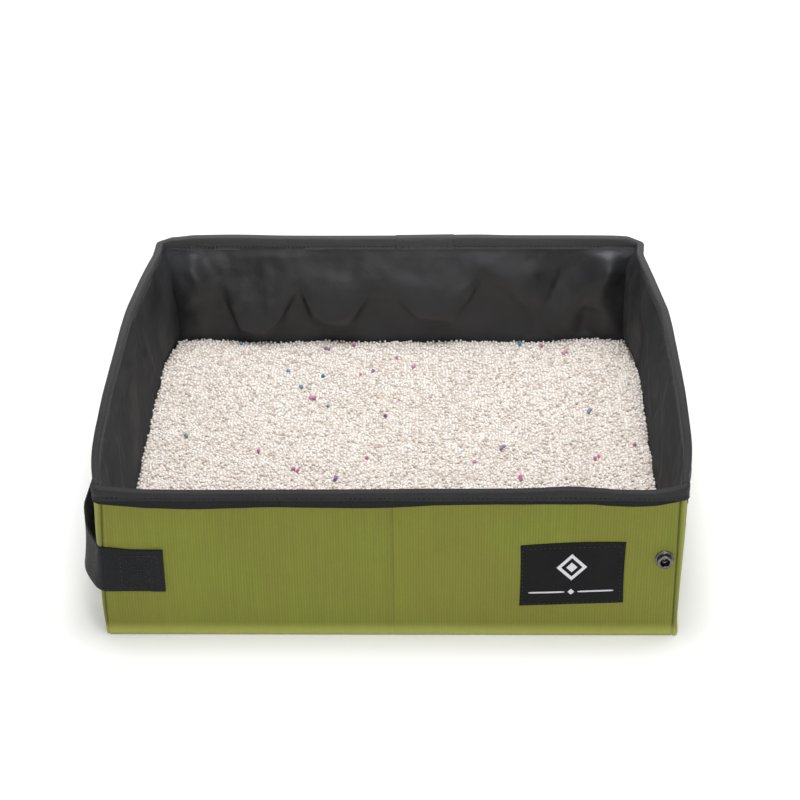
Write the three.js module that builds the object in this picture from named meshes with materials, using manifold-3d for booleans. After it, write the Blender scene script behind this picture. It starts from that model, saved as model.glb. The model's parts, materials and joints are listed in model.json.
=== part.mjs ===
// Foldable fabric litter box: a tray of ribbed cloth with a coated lining, stiffened by flat boards.
// All four walls hinge on their bottom edges and fold inward, the ends first, then front and back.
// Millimetres, +Z up, front wall at -Y. The origin is on the floor under the middle of the tray.
import * as THREE from "three";
import { mergeVertices } from "three/addons/utils/BufferGeometryUtils.js";
import Module from "manifold-3d";

const wasm = await Module();
wasm.setup();

// Overall sizes
const width = 440;
const depth = 410;
const height = 135;
const cornerRadius = 6;

// Layers of a wall and of the base, from the outside in
const coverThickness = 0.8;
const boardThickness = 2;
const linerThickness = 0.6;
const gap = 0.3;
const overrun = 1;

// End walls: they lean outward, and their corners are soft gussets past a slanted board
const endLean = 4.5;
const creaseInset = 6;
const boardInset = 8;
const boardFootClearance = 1.5;
const boardHeadClearance = 3;

// Boards of the base, front and back are split at the centre crease
const creaseWidth = 4;
const boardCorner = 5;
const boardSideClearance = 4;

// Rim binding: a folded tape over the turned edge of the lining, which shows below it on the outside.
// The tape has one lapped join in the back stretch.
const bindingThickness = 0.9;
const bindingDrop = 9.5;
const turnedEdgeDrop = 17;
const turnedEdgeThickness = 0.5;
const lapThickness = 0.5;
const lapLength = 53;
const lapCentre = 23;

// Handle: webbing sewn to front and back, slack round the left end
const webbingWidth = 38;
const webbingThickness = 2;
const webbingFoot = 43;
const handlePatch = 49;
const handleSlack = 14;

// Woven label on the front, set in from the right end
const labelWidth = 78;
const labelHeight = 55;
const labelThickness = 0.8;
const labelInset = 45;
const labelCentreZ = 58;
const labelCorner = 1.5;

// Ring snap on the front, near the right end
const snapInset = 15;
const snapCentreZ = 73;
const snapFlangeRadius = 7.2;
const snapFlangeThickness = 1;
const snapRingRadius = 6;
const snapRingHeight = 6;
const snapMouthRadius = 3.6;
const snapLip = 0.5;
const snapPostRadius = 1.6;
const snapPostClearance = 0.4;
const snapCapThickness = 1;

// Litter
const litterDepth = 28;
const litterClearance = 1;
const litterEdge = 3;
const litterSwell = 2.5;
const litterSwellsAcross = 3;

// Folds of the loose lining
const foldDepth = 9;
const foldHalfHeight = 14;

// Resolution of curves and soft surfaces
const arcSteps = 4;
const roundSteps = 24;
const endStations = 40;
const endLevels = 5;
const liningStations = 42;
const liningLevels = 11;
const litterStations = 20;

// Heights and places that follow from the layers
const wall = coverThickness + gap + boardThickness + gap + linerThickness;
const baseTop = wall;
const endHinge = baseTop + gap;
const bindingStack = gap + bindingThickness;
const boardStack = linerThickness + gap + boardThickness;
const frontHinge = endHinge + boardStack + gap + bindingStack;
const panelTop = height - bindingThickness - gap;
const frontFace = -depth / 2;
const frontInner = frontFace + wall;
const cornerEnd = frontFace + cornerRadius;
const endHalf = -cornerEnd;
const endSpan = endHalf - gap;
const endInner = width / 2 - wall;
const endRise = panelTop - endHinge;
const leanAngle = THREE.MathUtils.degToRad(endLean);
const snapX = width / 2 - snapInset;

// Finishes
const cloth = { color: 0x80843e, roughness: 0.9, metalness: 0 };
const lining = { color: 0x2e2f32, roughness: 0.45, metalness: 0 };
const tape = { color: 0x2b2c2e, roughness: 0.8, metalness: 0 };
const webbing = { color: 0x1f2022, roughness: 0.85, metalness: 0 };
const board = { color: 0xc9c8c2, roughness: 0.6, metalness: 0 };
const granules = { color: 0xd9cfc4, roughness: 0.95, metalness: 0 };
const woven = { color: 0x1c1c1e, roughness: 0.8, metalness: 0 };
const gunmetal = { color: 0x4a4a4c, roughness: 0.35, metalness: 0.9 };

const box = new THREE.Group();

function add(name, geometry, finish) {
  const mesh = new THREE.Mesh(geometry, new THREE.MeshStandardMaterial(finish));
  mesh.name = name;
  box.add(mesh);
  return mesh;
}

// Booleans

function toSolid(geometry) {
  const bare = geometry.clone();
  bare.deleteAttribute("normal");
  bare.deleteAttribute("uv");
  const merged = mergeVertices(bare);
  const vertProperties = Float32Array.from(merged.attributes.position.array);
  const triVerts = Uint32Array.from(merged.index.array);
  return new wasm.Manifold(new wasm.Mesh({ numProp: 3, vertProperties, triVerts }));
}

function toGeometry(solid) {
  const mesh = solid.getMesh();
  const geometry = new THREE.BufferGeometry();
  geometry.setAttribute("position", new THREE.BufferAttribute(mesh.vertProperties, 3));
  geometry.setIndex(new THREE.BufferAttribute(mesh.triVerts, 1));
  geometry.computeVertexNormals();
  return geometry;
}

function cut(geometry, ...tools) {
  return toGeometry(tools.reduce((solid, tool) => solid.subtract(toSolid(tool)), toSolid(geometry)));
}

function join(geometry, ...others) {
  return toGeometry(others.reduce((solid, other) => solid.add(toSolid(other)), toSolid(geometry)));
}

// Shapes and solids

function upright(shape, bottom, top) {
  const solid = new THREE.ExtrudeGeometry(shape, {
    depth: top - bottom,
    bevelEnabled: false,
    curveSegments: arcSteps,
  });
  return solid.translate(0, 0, bottom);
}

// A shape drawn in X and Z, made a plate that runs back from the plane y = front
function plate(shape, front, thickness) {
  const solid = new THREE.ExtrudeGeometry(shape, {
    depth: thickness,
    bevelEnabled: false,
    curveSegments: arcSteps,
  });
  return solid.rotateX(Math.PI / 2).translate(0, front + thickness, 0);
}

function block(x0, x1, y0, y1, z0, z1) {
  const solid = new THREE.BoxGeometry(x1 - x0, y1 - y0, z1 - z0);
  return solid.translate((x0 + x1) / 2, (y0 + y1) / 2, (z0 + z1) / 2);
}

// A polygon whose corners are rounded
function roundedShape(corners, radius) {
  const shape = new THREE.Shape();
  corners.forEach((corner, i) => {
    const before = corners[(i + corners.length - 1) % corners.length];
    const after = corners[(i + 1) % corners.length];
    const start = corner.clone().add(before.clone().sub(corner).setLength(radius));
    const end = corner.clone().add(after.clone().sub(corner).setLength(radius));
    if (i === 0) {
      shape.moveTo(start.x, start.y);
    } else {
      shape.lineTo(start.x, start.y);
    }
    shape.quadraticCurveTo(corner.x, corner.y, end.x, end.y);
  });
  shape.closePath();
  return shape;
}

function roundedRectangle(x0, x1, y0, y1, radius) {
  const shape = new THREE.Shape();
  shape.absarc(x0 + radius, y0 + radius, radius, Math.PI, 1.5 * Math.PI, false);
  shape.absarc(x1 - radius, y0 + radius, radius, 1.5 * Math.PI, 2 * Math.PI, false);
  shape.absarc(x1 - radius, y1 - radius, radius, 0, 0.5 * Math.PI, false);
  shape.absarc(x0 + radius, y1 - radius, radius, 0.5 * Math.PI, Math.PI, false);
  shape.closePath();
  return shape;
}

function spread(from, to, steps) {
  return Array.from({ length: steps + 1 }, (unused, i) => from + ((to - from) * i) / steps);
}

// A closed solid lofted through like sections. section(s) gives the points of the section at station s
// in its own plane, and place(point, s) puts one of them in space.
function loft(stations, section, place) {
  const sections = stations.map((s) => section(s));
  const count = sections[0].length;
  const points = sections.flatMap((outline, k) => outline.map((point) => place(point, stations[k])));
  const faces = [];
  for (let k = 0; k + 1 < stations.length; k += 1) {
    for (let i = 0; i < count; i += 1) {
      const a = k * count + i;
      const b = k * count + ((i + 1) % count);
      faces.push([a, b, b + count], [a, b + count, a + count]);
    }
  }
  const last = (stations.length - 1) * count;
  const clockwise = THREE.ShapeUtils.isClockWise(sections[0]);
  for (const [a, b, c] of THREE.ShapeUtils.triangulateShape(sections[0], [])) {
    faces.push(clockwise ? [a, b, c] : [a, c, b]);
  }
  for (const [a, b, c] of THREE.ShapeUtils.triangulateShape(sections.at(-1), [])) {
    faces.push(clockwise ? [last + a, last + c, last + b] : [last + a, last + b, last + c]);
  }
  const volume = faces.reduce((sum, [a, b, c]) => {
    const turned = new THREE.Vector3().crossVectors(points[b], points[c]);
    return sum + points[a].dot(turned);
  }, 0);
  const outward = volume > 0 ? faces : faces.map(([a, b, c]) => [a, c, b]);
  const geometry = new THREE.BufferGeometry().setFromPoints(points);
  geometry.setIndex(outward.flat());
  geometry.computeVertexNormals();
  return geometry;
}

// The back wall is the front wall turned half round, and so is the left end of the right one
function turned(geometry) {
  return geometry.clone().rotateZ(Math.PI);
}

// Base: a shallow tray of cloth, two boards and the lining of the floor

function baseTray(inset, thickness, floor) {
  const outer = roundedRectangle(
    inset - width / 2,
    width / 2 - inset,
    inset - depth / 2,
    depth / 2 - inset,
    cornerRadius - inset,
  );
  const within = inset + thickness;
  const inner = roundedRectangle(
    within - width / 2,
    width / 2 - within,
    within - depth / 2,
    depth / 2 - within,
    cornerRadius - within,
  );
  const hollow = upright(inner, floor + thickness, frontHinge + overrun);
  const reach = width / 2 + overrun;
  const endOpening = block(-reach, reach, cornerEnd, -cornerEnd, baseTop, frontHinge + overrun);
  return cut(upright(outer, floor, frontHinge - gap), hollow, endOpening);
}

function baseBoard(side) {
  const inset = coverThickness + gap;
  const x = [(side * creaseWidth) / 2, side * (width / 2 - inset)].sort((a, b) => a - b);
  const outline = roundedRectangle(x[0], x[1], inset - depth / 2, depth / 2 - inset, boardCorner);
  return upright(outline, inset, inset + boardThickness);
}

add("base_cover", baseTray(0, coverThickness, 0), cloth);
add("base_board_left", baseBoard(-1), board);
add("base_board_right", baseBoard(1), board);
const linerInset = wall - linerThickness;
add("base_liner", baseTray(linerInset, linerThickness, baseTop - linerThickness), lining);

// Litter: a levelled layer with low swells and a worn-down edge

function litterTop(x, y, halfX, halfY) {
  const edge = Math.min(halfX - Math.abs(x), halfY - Math.abs(y)) / litterEdge;
  const swell = Math.sin((litterSwellsAcross * Math.PI * x) / width) * Math.cos((Math.PI * y) / depth);
  return baseTop + gap + litterDepth + litterSwell * swell - litterEdge * Math.max(1 - edge, 0);
}

function litterFill() {
  const halfX = endInner - litterClearance;
  const halfY = -frontInner - litterClearance;
  const shoulders = (half) => [
    -half,
    ...spread(litterEdge - half, half - litterEdge, litterStations),
    half,
  ];
  const section = (x) => [
    new THREE.Vector2(-halfY, baseTop + gap),
    new THREE.Vector2(halfY, baseTop + gap),
    ...shoulders(halfY)
      .reverse()
      .map((y) => new THREE.Vector2(y, litterTop(x, y, halfX, halfY))),
  ];
  return loft(shoulders(halfX), section, (point, x) => new THREE.Vector3(x, point.x, point.y));
}

add("litter_fill", litterFill(), granules);

// Front and back walls

// The plan of a strip that follows the front face and turns both corners, outset from that face
function cornerStrip(outset, thickness) {
  const shape = new THREE.Shape();
  const middle = width / 2 - cornerRadius;
  const outer = cornerRadius + outset;
  const inner = outer - thickness;
  shape.moveTo(-middle - outer, cornerEnd);
  shape.absarc(-middle, cornerEnd, outer, Math.PI, 1.5 * Math.PI, false);
  shape.absarc(middle, cornerEnd, outer, 1.5 * Math.PI, 2 * Math.PI, false);
  shape.lineTo(middle + inner, cornerEnd);
  shape.absarc(middle, cornerEnd, inner, 2 * Math.PI, 1.5 * Math.PI, true);
  shape.absarc(-middle, cornerEnd, inner, 1.5 * Math.PI, Math.PI, true);
  shape.closePath();
  return shape;
}

// The plan of the whole wall with a margin all round, which ends past the corners by reach
function rimPlan(margin, reach) {
  const shape = new THREE.Shape();
  const middle = width / 2 - cornerRadius;
  const side = width / 2 - coverThickness - margin;
  const end = cornerEnd + reach;
  shape.moveTo(-width / 2 - margin, end);
  shape.absarc(-middle, cornerEnd, cornerRadius + margin, Math.PI, 1.5 * Math.PI, false);
  shape.absarc(middle, cornerEnd, cornerRadius + margin, 1.5 * Math.PI, 2 * Math.PI, false);
  shape.lineTo(width / 2 + margin, end);
  shape.lineTo(side, end);
  shape.lineTo(side, frontInner + margin);
  shape.lineTo(-side, frontInner + margin);
  shape.lineTo(-side, end);
  shape.closePath();
  return shape;
}

// The foot of each corner return is cut back, so that it clears the base when the wall swings in
function wallCover() {
  const foot = frontHinge + cornerRadius - wall + gap;
  const reach = width / 2 + overrun;
  const relief = block(-reach, reach, frontInner, cornerEnd + overrun, frontHinge - overrun, foot);
  return cut(upright(cornerStrip(0, coverThickness), frontHinge, panelTop), relief);
}

function wallBoard(side) {
  const x = [(side * creaseWidth) / 2, side * (width / 2 - cornerRadius - boardSideClearance)];
  x.sort((a, b) => a - b);
  const bottom = frontHinge + boardFootClearance;
  const outline = roundedRectangle(x[0], x[1], bottom, panelTop - boardHeadClearance, boardCorner);
  return plate(outline, frontFace + coverThickness + gap, boardThickness);
}

// Festoons of the loose lining, as seen from inside the box: it hangs between these points, given as
// shares of the wall's length from its middle and of the free height above the litter.
const backHangShares = [
  [-0.5, 0.6],
  [-0.375, 0.58],
  [-0.215, 0.6],
  [-0.058, 0.57],
  [0.18, 0.76],
  [0.338, 0.78],
  [0.5, 0.66],
];
const frontHangShares = [
  [-0.42, 0.7],
  [-0.12, 0.62],
  [0.16, 0.68],
  [0.4, 0.62],
];
const sagShare = 0.34;
const hangStrengthShare = 0.3;

// How far the lining stands off its board at a place on the wall
function foldAt(x, z, hangs) {
  const bottom = baseTop + litterDepth + litterSwell;
  const top = height - bindingDrop;
  const rise = (z - bottom) / (top - bottom);
  const along = x / (2 * endInner);
  const last = hangs.findIndex(([place]) => place >= along);
  if (rise <= 0 || rise >= 1 || last < 1) {
    return 0;
  }
  const [[from, low], [to, high]] = [hangs[last - 1], hangs[last]];
  const part = (along - from) / (to - from);
  const curve = Math.sin(Math.PI * part);
  const line = low + (high - low) * part - sagShare * curve;
  const above = ((rise - line) * (top - bottom)) / foldHalfHeight;
  const ends = (2 * Math.min(x + endInner, endInner - x)) / foldHalfHeight;
  const strength = hangStrengthShare + (1 - hangStrengthShare) * curve;
  return foldDepth * strength * Math.sin(Math.PI * rise) * Math.exp(-(above ** 2)) * Math.min(ends, 1);
}

// The lining of the front wall, or with facing -1 that of the back wall before it is turned round
function wallLiner(hangs, facing) {
  const side = endInner - gap;
  const section = (x) => [
    new THREE.Vector2(frontInner - linerThickness, frontHinge),
    new THREE.Vector2(frontInner - linerThickness, panelTop),
    ...spread(panelTop, frontHinge, liningLevels).map(
      (z) => new THREE.Vector2(frontInner + foldAt(facing * x, z, hangs), z),
    ),
  ];
  const place = (point, x) => new THREE.Vector3(x, point.x, point.y);
  return loft(spread(-side, side, liningStations), section, place);
}

function wallBinding() {
  const bottom = height - bindingDrop;
  const slot = upright(rimPlan(gap, overrun), bottom - overrun, height - bindingThickness);
  const edge = cornerStrip(gap + turnedEdgeThickness, turnedEdgeThickness);
  const turnedEdge = upright(edge, height - turnedEdgeDrop, bottom + overrun);
  return join(cut(upright(rimPlan(bindingStack, 0), bottom, height), slot), turnedEdge);
}

// The two ends of the tape are lapped, which makes a thicker stretch
function bindingLap() {
  const x0 = lapCentre - lapLength / 2;
  const x1 = lapCentre + lapLength / 2;
  const bottom = height - bindingDrop;
  const outside = frontFace - bindingStack;
  const inside = frontInner + bindingStack;
  const outer = block(x0, x1, outside - lapThickness, outside + gap, bottom, height);
  const inner = block(x0, x1, inside - gap, inside + lapThickness, bottom, height);
  return [outer, inner].map((side) => turned(side));
}

// Snap: an outer ring and an inner cap, whose post holds the ring through the wall

function snapHole() {
  const radius = snapPostRadius + snapPostClearance;
  const reach = wall + overrun;
  const hole = new THREE.CylinderGeometry(radius, radius, 2 * reach, roundSteps);
  return hole.translate(snapX, frontFace, snapCentreZ);
}

// A profile of radius and height, turned round the snap's axis, which points out of the front
function snapLathe(profile, base) {
  const points = profile.map(([radius, rise]) => new THREE.Vector2(radius, rise));
  points.push(points[0].clone());
  const solid = new THREE.LatheGeometry(points, roundSteps);
  return solid.rotateX(Math.PI).translate(snapX, base, snapCentreZ);
}

function snapRing() {
  const bore = snapPostRadius + snapPostClearance;
  const rim = snapRingHeight;
  return snapLathe(
    [
      [bore, 0],
      [snapFlangeRadius, 0],
      [snapFlangeRadius, snapFlangeThickness - snapLip],
      [snapFlangeRadius - snapLip, snapFlangeThickness],
      [snapRingRadius, snapFlangeThickness],
      [snapRingRadius, rim - snapLip],
      [snapRingRadius - snapLip, rim],
      [snapMouthRadius + snapLip, rim],
      [snapMouthRadius, rim - snapLip],
      [snapMouthRadius, snapFlangeThickness],
      [bore, snapFlangeThickness],
    ],
    frontFace - gap,
  );
}

function snapCap() {
  const post = gap + wall + gap + snapFlangeThickness + snapLip;
  return snapLathe(
    [
      [0, -snapCapThickness],
      [snapFlangeRadius - snapLip, -snapCapThickness],
      [snapFlangeRadius, snapLip - snapCapThickness],
      [snapFlangeRadius, 0],
      [snapPostRadius, 0],
      [snapPostRadius, post],
      [0, post],
    ],
    frontInner + gap,
  );
}

add("front_cover", cut(wallCover(), snapHole()), cloth);
add("front_board_left", wallBoard(-1), board);
add("front_board_right", cut(wallBoard(1), snapHole()), board);
add("front_liner", cut(wallLiner(frontHangShares, 1), snapHole()), lining);
add("front_binding", wallBinding(), tape);
add("snap_ring", snapRing(), gunmetal);
add("snap_cap", snapCap(), gunmetal);

add("back_cover", turned(wallCover()), cloth);
add("back_board_left", turned(wallBoard(1)), board);
add("back_board_right", turned(wallBoard(-1)), board);
add("back_liner", turned(wallLiner(backHangShares, -1)), lining);
add("back_binding", join(turned(wallBinding()), ...bindingLap()), tape);

// Label
const labelOutline = roundedRectangle(
  width / 2 - labelInset - labelWidth,
  width / 2 - labelInset,
  labelCentreZ - labelHeight / 2,
  labelCentreZ + labelHeight / 2,
  labelCorner,
);
add("label", plate(labelOutline, frontFace - gap - labelThickness, labelThickness), woven);

// End walls. The flat board leans outward, and the cloth follows it, then runs back to the upright
// corners over the gussets on both sides.

function leanAt(y, z) {
  const rise = Math.max(z - endHinge, 0);
  const crease = -frontInner - creaseInset - rise;
  const loose = (endHalf - Math.abs(y)) / (endHalf - crease);
  const pull = THREE.MathUtils.clamp(loose, 0, 1);
  return rise * Math.tan(leanAngle) * (1 - (1 - pull) ** 2);
}

// The section of an end wall's cloth at a place along it, from its points' own offsets and heights
function leaning(points) {
  const section = (y) => points.map(([x, z]) => new THREE.Vector2(x + leanAt(y, z), z));
  const place = (point, y) => new THREE.Vector3(point.x, y, point.y);
  return loft(spread(-endSpan, endSpan, endStations), section, place);
}

function endSheet(outerFace, thickness) {
  const rises = spread(endHinge, panelTop, endLevels);
  const outer = rises.map((z) => [outerFace, z]);
  const inner = rises.map((z) => [outerFace - thickness, z]).reverse();
  return leaning([...outer, ...inner]);
}

function endBinding() {
  const bottom = height - bindingDrop;
  const outside = width / 2 + bindingStack;
  const inside = endInner - bindingStack;
  const turnedEdge = outside - bindingThickness + turnedEdgeThickness;
  return leaning([
    [turnedEdge, height - turnedEdgeDrop],
    [turnedEdge, bottom],
    [outside, bottom],
    [outside, height],
    [inside, height],
    [inside, bottom],
    [inside + bindingThickness, bottom],
    [inside + bindingThickness, height - bindingThickness],
    [outside - bindingThickness, height - bindingThickness],
    [outside - bindingThickness, height - turnedEdgeDrop],
  ]);
}

// A trapezoid whose sides slant with the gusset creases, drawn from the hinge line
function endBoard() {
  const foot = -frontInner - creaseInset - boardInset;
  const bottom = boardFootClearance;
  const top = endRise - boardHeadClearance;
  const corners = [
    new THREE.Vector2(bottom - foot, bottom),
    new THREE.Vector2(foot - bottom, bottom),
    new THREE.Vector2(foot - top, top),
    new THREE.Vector2(top - foot, top),
  ];
  const sheet = plate(roundedShape(corners, boardCorner), 0, boardThickness);
  return sheet.rotateZ(Math.PI / 2).translate(linerThickness + gap + boardThickness, 0, 0);
}

function addEnd(name, turn) {
  const side = new THREE.Group();
  side.rotation.z = turn;
  box.add(side);
  const hinge = new THREE.Group();
  hinge.position.set(endInner, 0, endHinge);
  hinge.rotation.y = leanAngle;
  side.add(hinge);
  side.add(add(`${name}_cover`, endSheet(width / 2, coverThickness), cloth));
  hinge.add(add(`${name}_board`, endBoard(), board));
  side.add(add(`${name}_liner`, endSheet(endInner + linerThickness, linerThickness), lining));
  side.add(add(`${name}_binding`, endBinding(), tape));
}

addEnd("left_end", Math.PI);
addEnd("right_end", 0);

// Handle: flat on the front and back faces, and slack round the left end

function handleStrap() {
  const face = frontFace - gap - webbingThickness / 2;
  const start = handlePatch - width / 2;
  const bend = cornerRadius - width / 2;
  const radius = handleSlack + cornerRadius;
  const outline = (offset) => {
    const path = new THREE.Path();
    path.moveTo(start, face - offset);
    path.lineTo(bend, face - offset);
    path.absarc(bend, face + radius, radius + offset, 1.5 * Math.PI, Math.PI, true);
    path.absarc(bend, -face - radius, radius + offset, Math.PI, 0.5 * Math.PI, true);
    path.lineTo(start, offset - face);
    return path.getPoints(arcSteps);
  };
  const outer = outline(webbingThickness / 2);
  const inner = outline(-webbingThickness / 2).reverse();
  const shape = new THREE.Shape([...outer, ...inner]);
  return upright(shape, webbingFoot, webbingFoot + webbingWidth);
}

add("handle_strap", handleStrap(), webbing);

export default box;
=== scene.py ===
"""Foldable litter box: ribbed cloth, loose coated lining, taped rim, webbing handle, ring snap and litter.

Every size is in metres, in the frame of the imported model: X along the front, Y to the back, Z up.
"""

import json
import math
import random

import bmesh
import bpy
from bpy.props import FloatProperty, FloatVectorProperty, IntProperty, PointerProperty
from mathutils import Matrix, Vector, noise


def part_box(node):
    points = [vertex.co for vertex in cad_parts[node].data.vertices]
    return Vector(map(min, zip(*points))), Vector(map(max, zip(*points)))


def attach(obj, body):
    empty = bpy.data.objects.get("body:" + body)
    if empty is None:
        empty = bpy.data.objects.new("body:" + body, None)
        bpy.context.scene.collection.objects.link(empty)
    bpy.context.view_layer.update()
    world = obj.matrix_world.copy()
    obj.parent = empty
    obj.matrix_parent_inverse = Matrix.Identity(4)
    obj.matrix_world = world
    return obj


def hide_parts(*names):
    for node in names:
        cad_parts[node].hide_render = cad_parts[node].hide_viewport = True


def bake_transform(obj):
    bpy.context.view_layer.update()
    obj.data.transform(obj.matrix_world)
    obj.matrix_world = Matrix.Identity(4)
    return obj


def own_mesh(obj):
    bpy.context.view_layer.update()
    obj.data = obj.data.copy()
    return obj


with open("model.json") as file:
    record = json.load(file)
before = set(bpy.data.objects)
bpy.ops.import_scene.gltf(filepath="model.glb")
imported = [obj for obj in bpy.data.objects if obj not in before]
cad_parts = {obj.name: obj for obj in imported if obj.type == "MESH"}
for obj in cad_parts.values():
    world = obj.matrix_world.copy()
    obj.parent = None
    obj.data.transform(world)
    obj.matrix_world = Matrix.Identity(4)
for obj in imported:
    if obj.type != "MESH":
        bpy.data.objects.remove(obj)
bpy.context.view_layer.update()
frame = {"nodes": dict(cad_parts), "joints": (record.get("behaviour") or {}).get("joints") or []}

bl_info = {
    "name": "Foldable litter box",
    "version": (1, 0, 0),
    "blender": (4, 5, 0),
    "location": "3D View > Sidebar > Litter box",
    "description": "Dresses the folding tray with its cloth, lining, tape, handle, snap, label and litter",
    "category": "Mesh",
}

# Sizes taken from the frame

front_low, front_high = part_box("front_cover")
rim_low, rim_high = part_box("front_binding")
end_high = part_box("right_end_cover")[1]
strap_low, strap_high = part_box("handle_strap")
ring_low, ring_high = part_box("snap_ring")
cap_low, cap_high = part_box("snap_cap")
label_low, label_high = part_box("label")
litter_low, litter_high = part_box("litter_fill")
floor_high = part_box("base_liner")[1]
joints = {joint["name"]: joint for joint in frame["joints"]}

half_width = front_high.x
half_depth = -front_low.y
corner_radius = half_depth + front_high.y
panel_top = front_high.z
rim_top = rim_high.z
turned_edge_foot = rim_low.z
wall_hinge = Vector(joints["front_fold"]["pos_m"])
end_hinge = Vector(joints["right_end_fold"]["pos_m"])
end_lean = math.radians(joints["right_end_fold"]["range_deg"][1] - 90)
inner_half_depth = abs(wall_hinge.y)
inner_half_width = end_hinge.x
end_half_span = end_high.y
floor_top = end_hinge.z - 0.0003
tape_stand_off = -rim_low.y - half_depth

walls = (("front", 1), ("back", -1))
ends = (("left_end", -1), ("right_end", 1))


# What a user may change


class LitterBoxSizes(bpy.types.PropertyGroup):
    cloth_thickness: FloatProperty(
        name="Cover cloth", description="Thickness of the ribbed cloth", default=0.0008, unit="LENGTH"
    )
    lining_thickness: FloatProperty(
        name="Lining", description="Thickness of the coated lining", default=0.0006, unit="LENGTH"
    )
    tape_thickness: FloatProperty(
        name="Rim tape", description="Thickness of the tape on the rim", default=0.0009, unit="LENGTH"
    )
    tape_drop: FloatProperty(
        name="Tape drop", description="How far the tape reaches down", default=0.0095, unit="LENGTH"
    )
    webbing_thickness: FloatProperty(
        name="Webbing", description="Thickness of the handle webbing", default=0.0018, unit="LENGTH"
    )
    lining_slack: FloatProperty(
        name="Lining slack", description="How far the lining's folds stand off", default=0.014, unit="LENGTH"
    )
    stitch_pitch: FloatProperty(
        name="Stitch pitch", description="From one stitch to the next", default=0.0036, unit="LENGTH"
    )
    grain_radius: FloatProperty(
        name="Grain radius", description="Mean radius of a litter grain", default=0.00135, unit="LENGTH"
    )
    grain_spacing: FloatProperty(
        name="Grain spacing", description="Least distance between grains", default=0.0023, unit="LENGTH"
    )
    seed: IntProperty(name="Seed", description="Chooses how the grains and creases fall", default=7, min=0)


class LitterBoxColours(bpy.types.PropertyGroup):
    cloth: FloatVectorProperty(
        name="Cloth", description="Olive green of the cover", default=(0.216, 0.242, 0.022),
        subtype="COLOR", min=0, max=1,
    )
    cloth_brown: FloatVectorProperty(
        name="Browner cloth", description="Warmer green of the cloth's soft patches",
        default=(0.214, 0.206, 0.023), subtype="COLOR", min=0, max=1,
    )
    # Painted light: the paler green of a wall's foot and of the cloth past its upright seams stands in for
    # light caught there.
    cloth_edge_light: FloatVectorProperty(
        name="Cloth edge", description="Paler green along the foot of a wall", default=(0.42, 0.45, 0.098),
        subtype="COLOR", min=0, max=1,
    )
    lining: FloatVectorProperty(
        name="Lining", description="Black of the coated lining", default=(0.0165, 0.0172, 0.0197),
        subtype="COLOR", min=0, max=1,
    )
    tape: FloatVectorProperty(
        name="Tape", description="Black of the rim tape", default=(0.014, 0.0138, 0.0145),
        subtype="COLOR", min=0, max=1,
    )
    webbing: FloatVectorProperty(
        name="Webbing", description="Black of the handle", default=(0.0075, 0.008, 0.0095),
        subtype="COLOR", min=0, max=1,
    )
    label: FloatVectorProperty(
        name="Label", description="Black ground of the label", default=(0.0075, 0.0076, 0.0085),
        subtype="COLOR", min=0, max=1,
    )
    motif: FloatVectorProperty(
        name="Motif", description="Pale thread of the label's lozenges", default=(0.70, 0.69, 0.74),
        subtype="COLOR", min=0, max=1,
    )
    grain: FloatVectorProperty(
        name="Grain", description="Cream of the litter", default=(0.98, 0.955, 0.92),
        subtype="COLOR", min=0, max=1,
    )
    grain_dark: FloatVectorProperty(
        name="Dull grain", description="Dullest of the litter grains", default=(0.62, 0.54, 0.48),
        subtype="COLOR", min=0, max=1,
    )
    metal: FloatVectorProperty(
        name="Snap", description="Dark plating of the snap", default=(0.10, 0.095, 0.10),
        subtype="COLOR", min=0, max=1,
    )


class LitterBoxStage(bpy.types.PropertyGroup):
    floor: FloatVectorProperty(
        name="Floor", description="Colour of the floor", default=(0.82, 0.82, 0.81),
        subtype="COLOR", min=0, max=1,
    )
    sky: FloatProperty(name="Sky", description="Strength of the even light", default=0.33, min=0)
    top_lamp: FloatProperty(
        name="Top lamp", description="Power of the lamp above", default=34.0, min=0, unit="POWER"
    )
    front_lamp: FloatProperty(
        name="Front lamp", description="Power of the lamp in front", default=14.0, min=0, unit="POWER"
    )


def sizes():
    return bpy.context.scene.litter_box_sizes


def colours():
    return bpy.context.scene.litter_box_colours


def scaled(colour, factor=1.0):
    """An opaque colour, lighter or darker by a factor."""
    return (*(part * factor for part in colour), 1.0)


# Small sums


def clamp(value, low=0.0, high=1.0):
    return min(max(value, low), high)


def smooth(value):
    value = clamp(value)
    return value * value * (3 - 2 * value)


def bell(value, width):
    """One at zero, and nearly nothing from two widths away."""
    return math.exp(-((value / width) ** 2))


def slope_at(points, step):
    """The slope of a smooth line at one of its points, level where the points turn back."""
    before, after = points[max(step - 1, 0):], points[max(step, 1):step + 2]
    slopes = [(v1 - v0) / (p1 - p0) for (p0, v0), (p1, v1) in zip(before, after)]
    if min(slopes) * max(slopes) <= 0:
        return 0.0
    return len(slopes) / sum(1 / slope for slope in slopes)


def through(points, place):
    """The value at a place on a smooth line through points (place, value), in order of place."""
    if place <= points[0][0]:
        return points[0][1]
    if place >= points[-1][0]:
        return points[-1][1]
    step = next(step for step, point in enumerate(points) if place < point[0]) - 1
    (p0, v0), (p1, v1) = points[step], points[step + 1]
    run = p1 - p0
    share = (place - p0) / run
    eased = smooth(share)
    lead = share * (1 - share) ** 2 * run * slope_at(points, step)
    trail = share**2 * (1 - share) * run * slope_at(points, step + 1)
    return v0 + (v1 - v0) * eased + lead - trail


def off_line(place, line):
    """How far a place lies from a line of points, minus on its left, and the share of the line there."""
    best = (math.inf, 0.0)
    for step, (start, end) in enumerate(zip(line, line[1:])):
        run = end - start
        share = clamp((place - start).dot(run) / run.length_squared)
        away = place - start - run * share
        side = -1 if run.cross(away) > 0 else 1
        if away.length < abs(best[0]):
            best = (side * away.length, (step + share) / (len(line) - 1))
    return best


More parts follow.
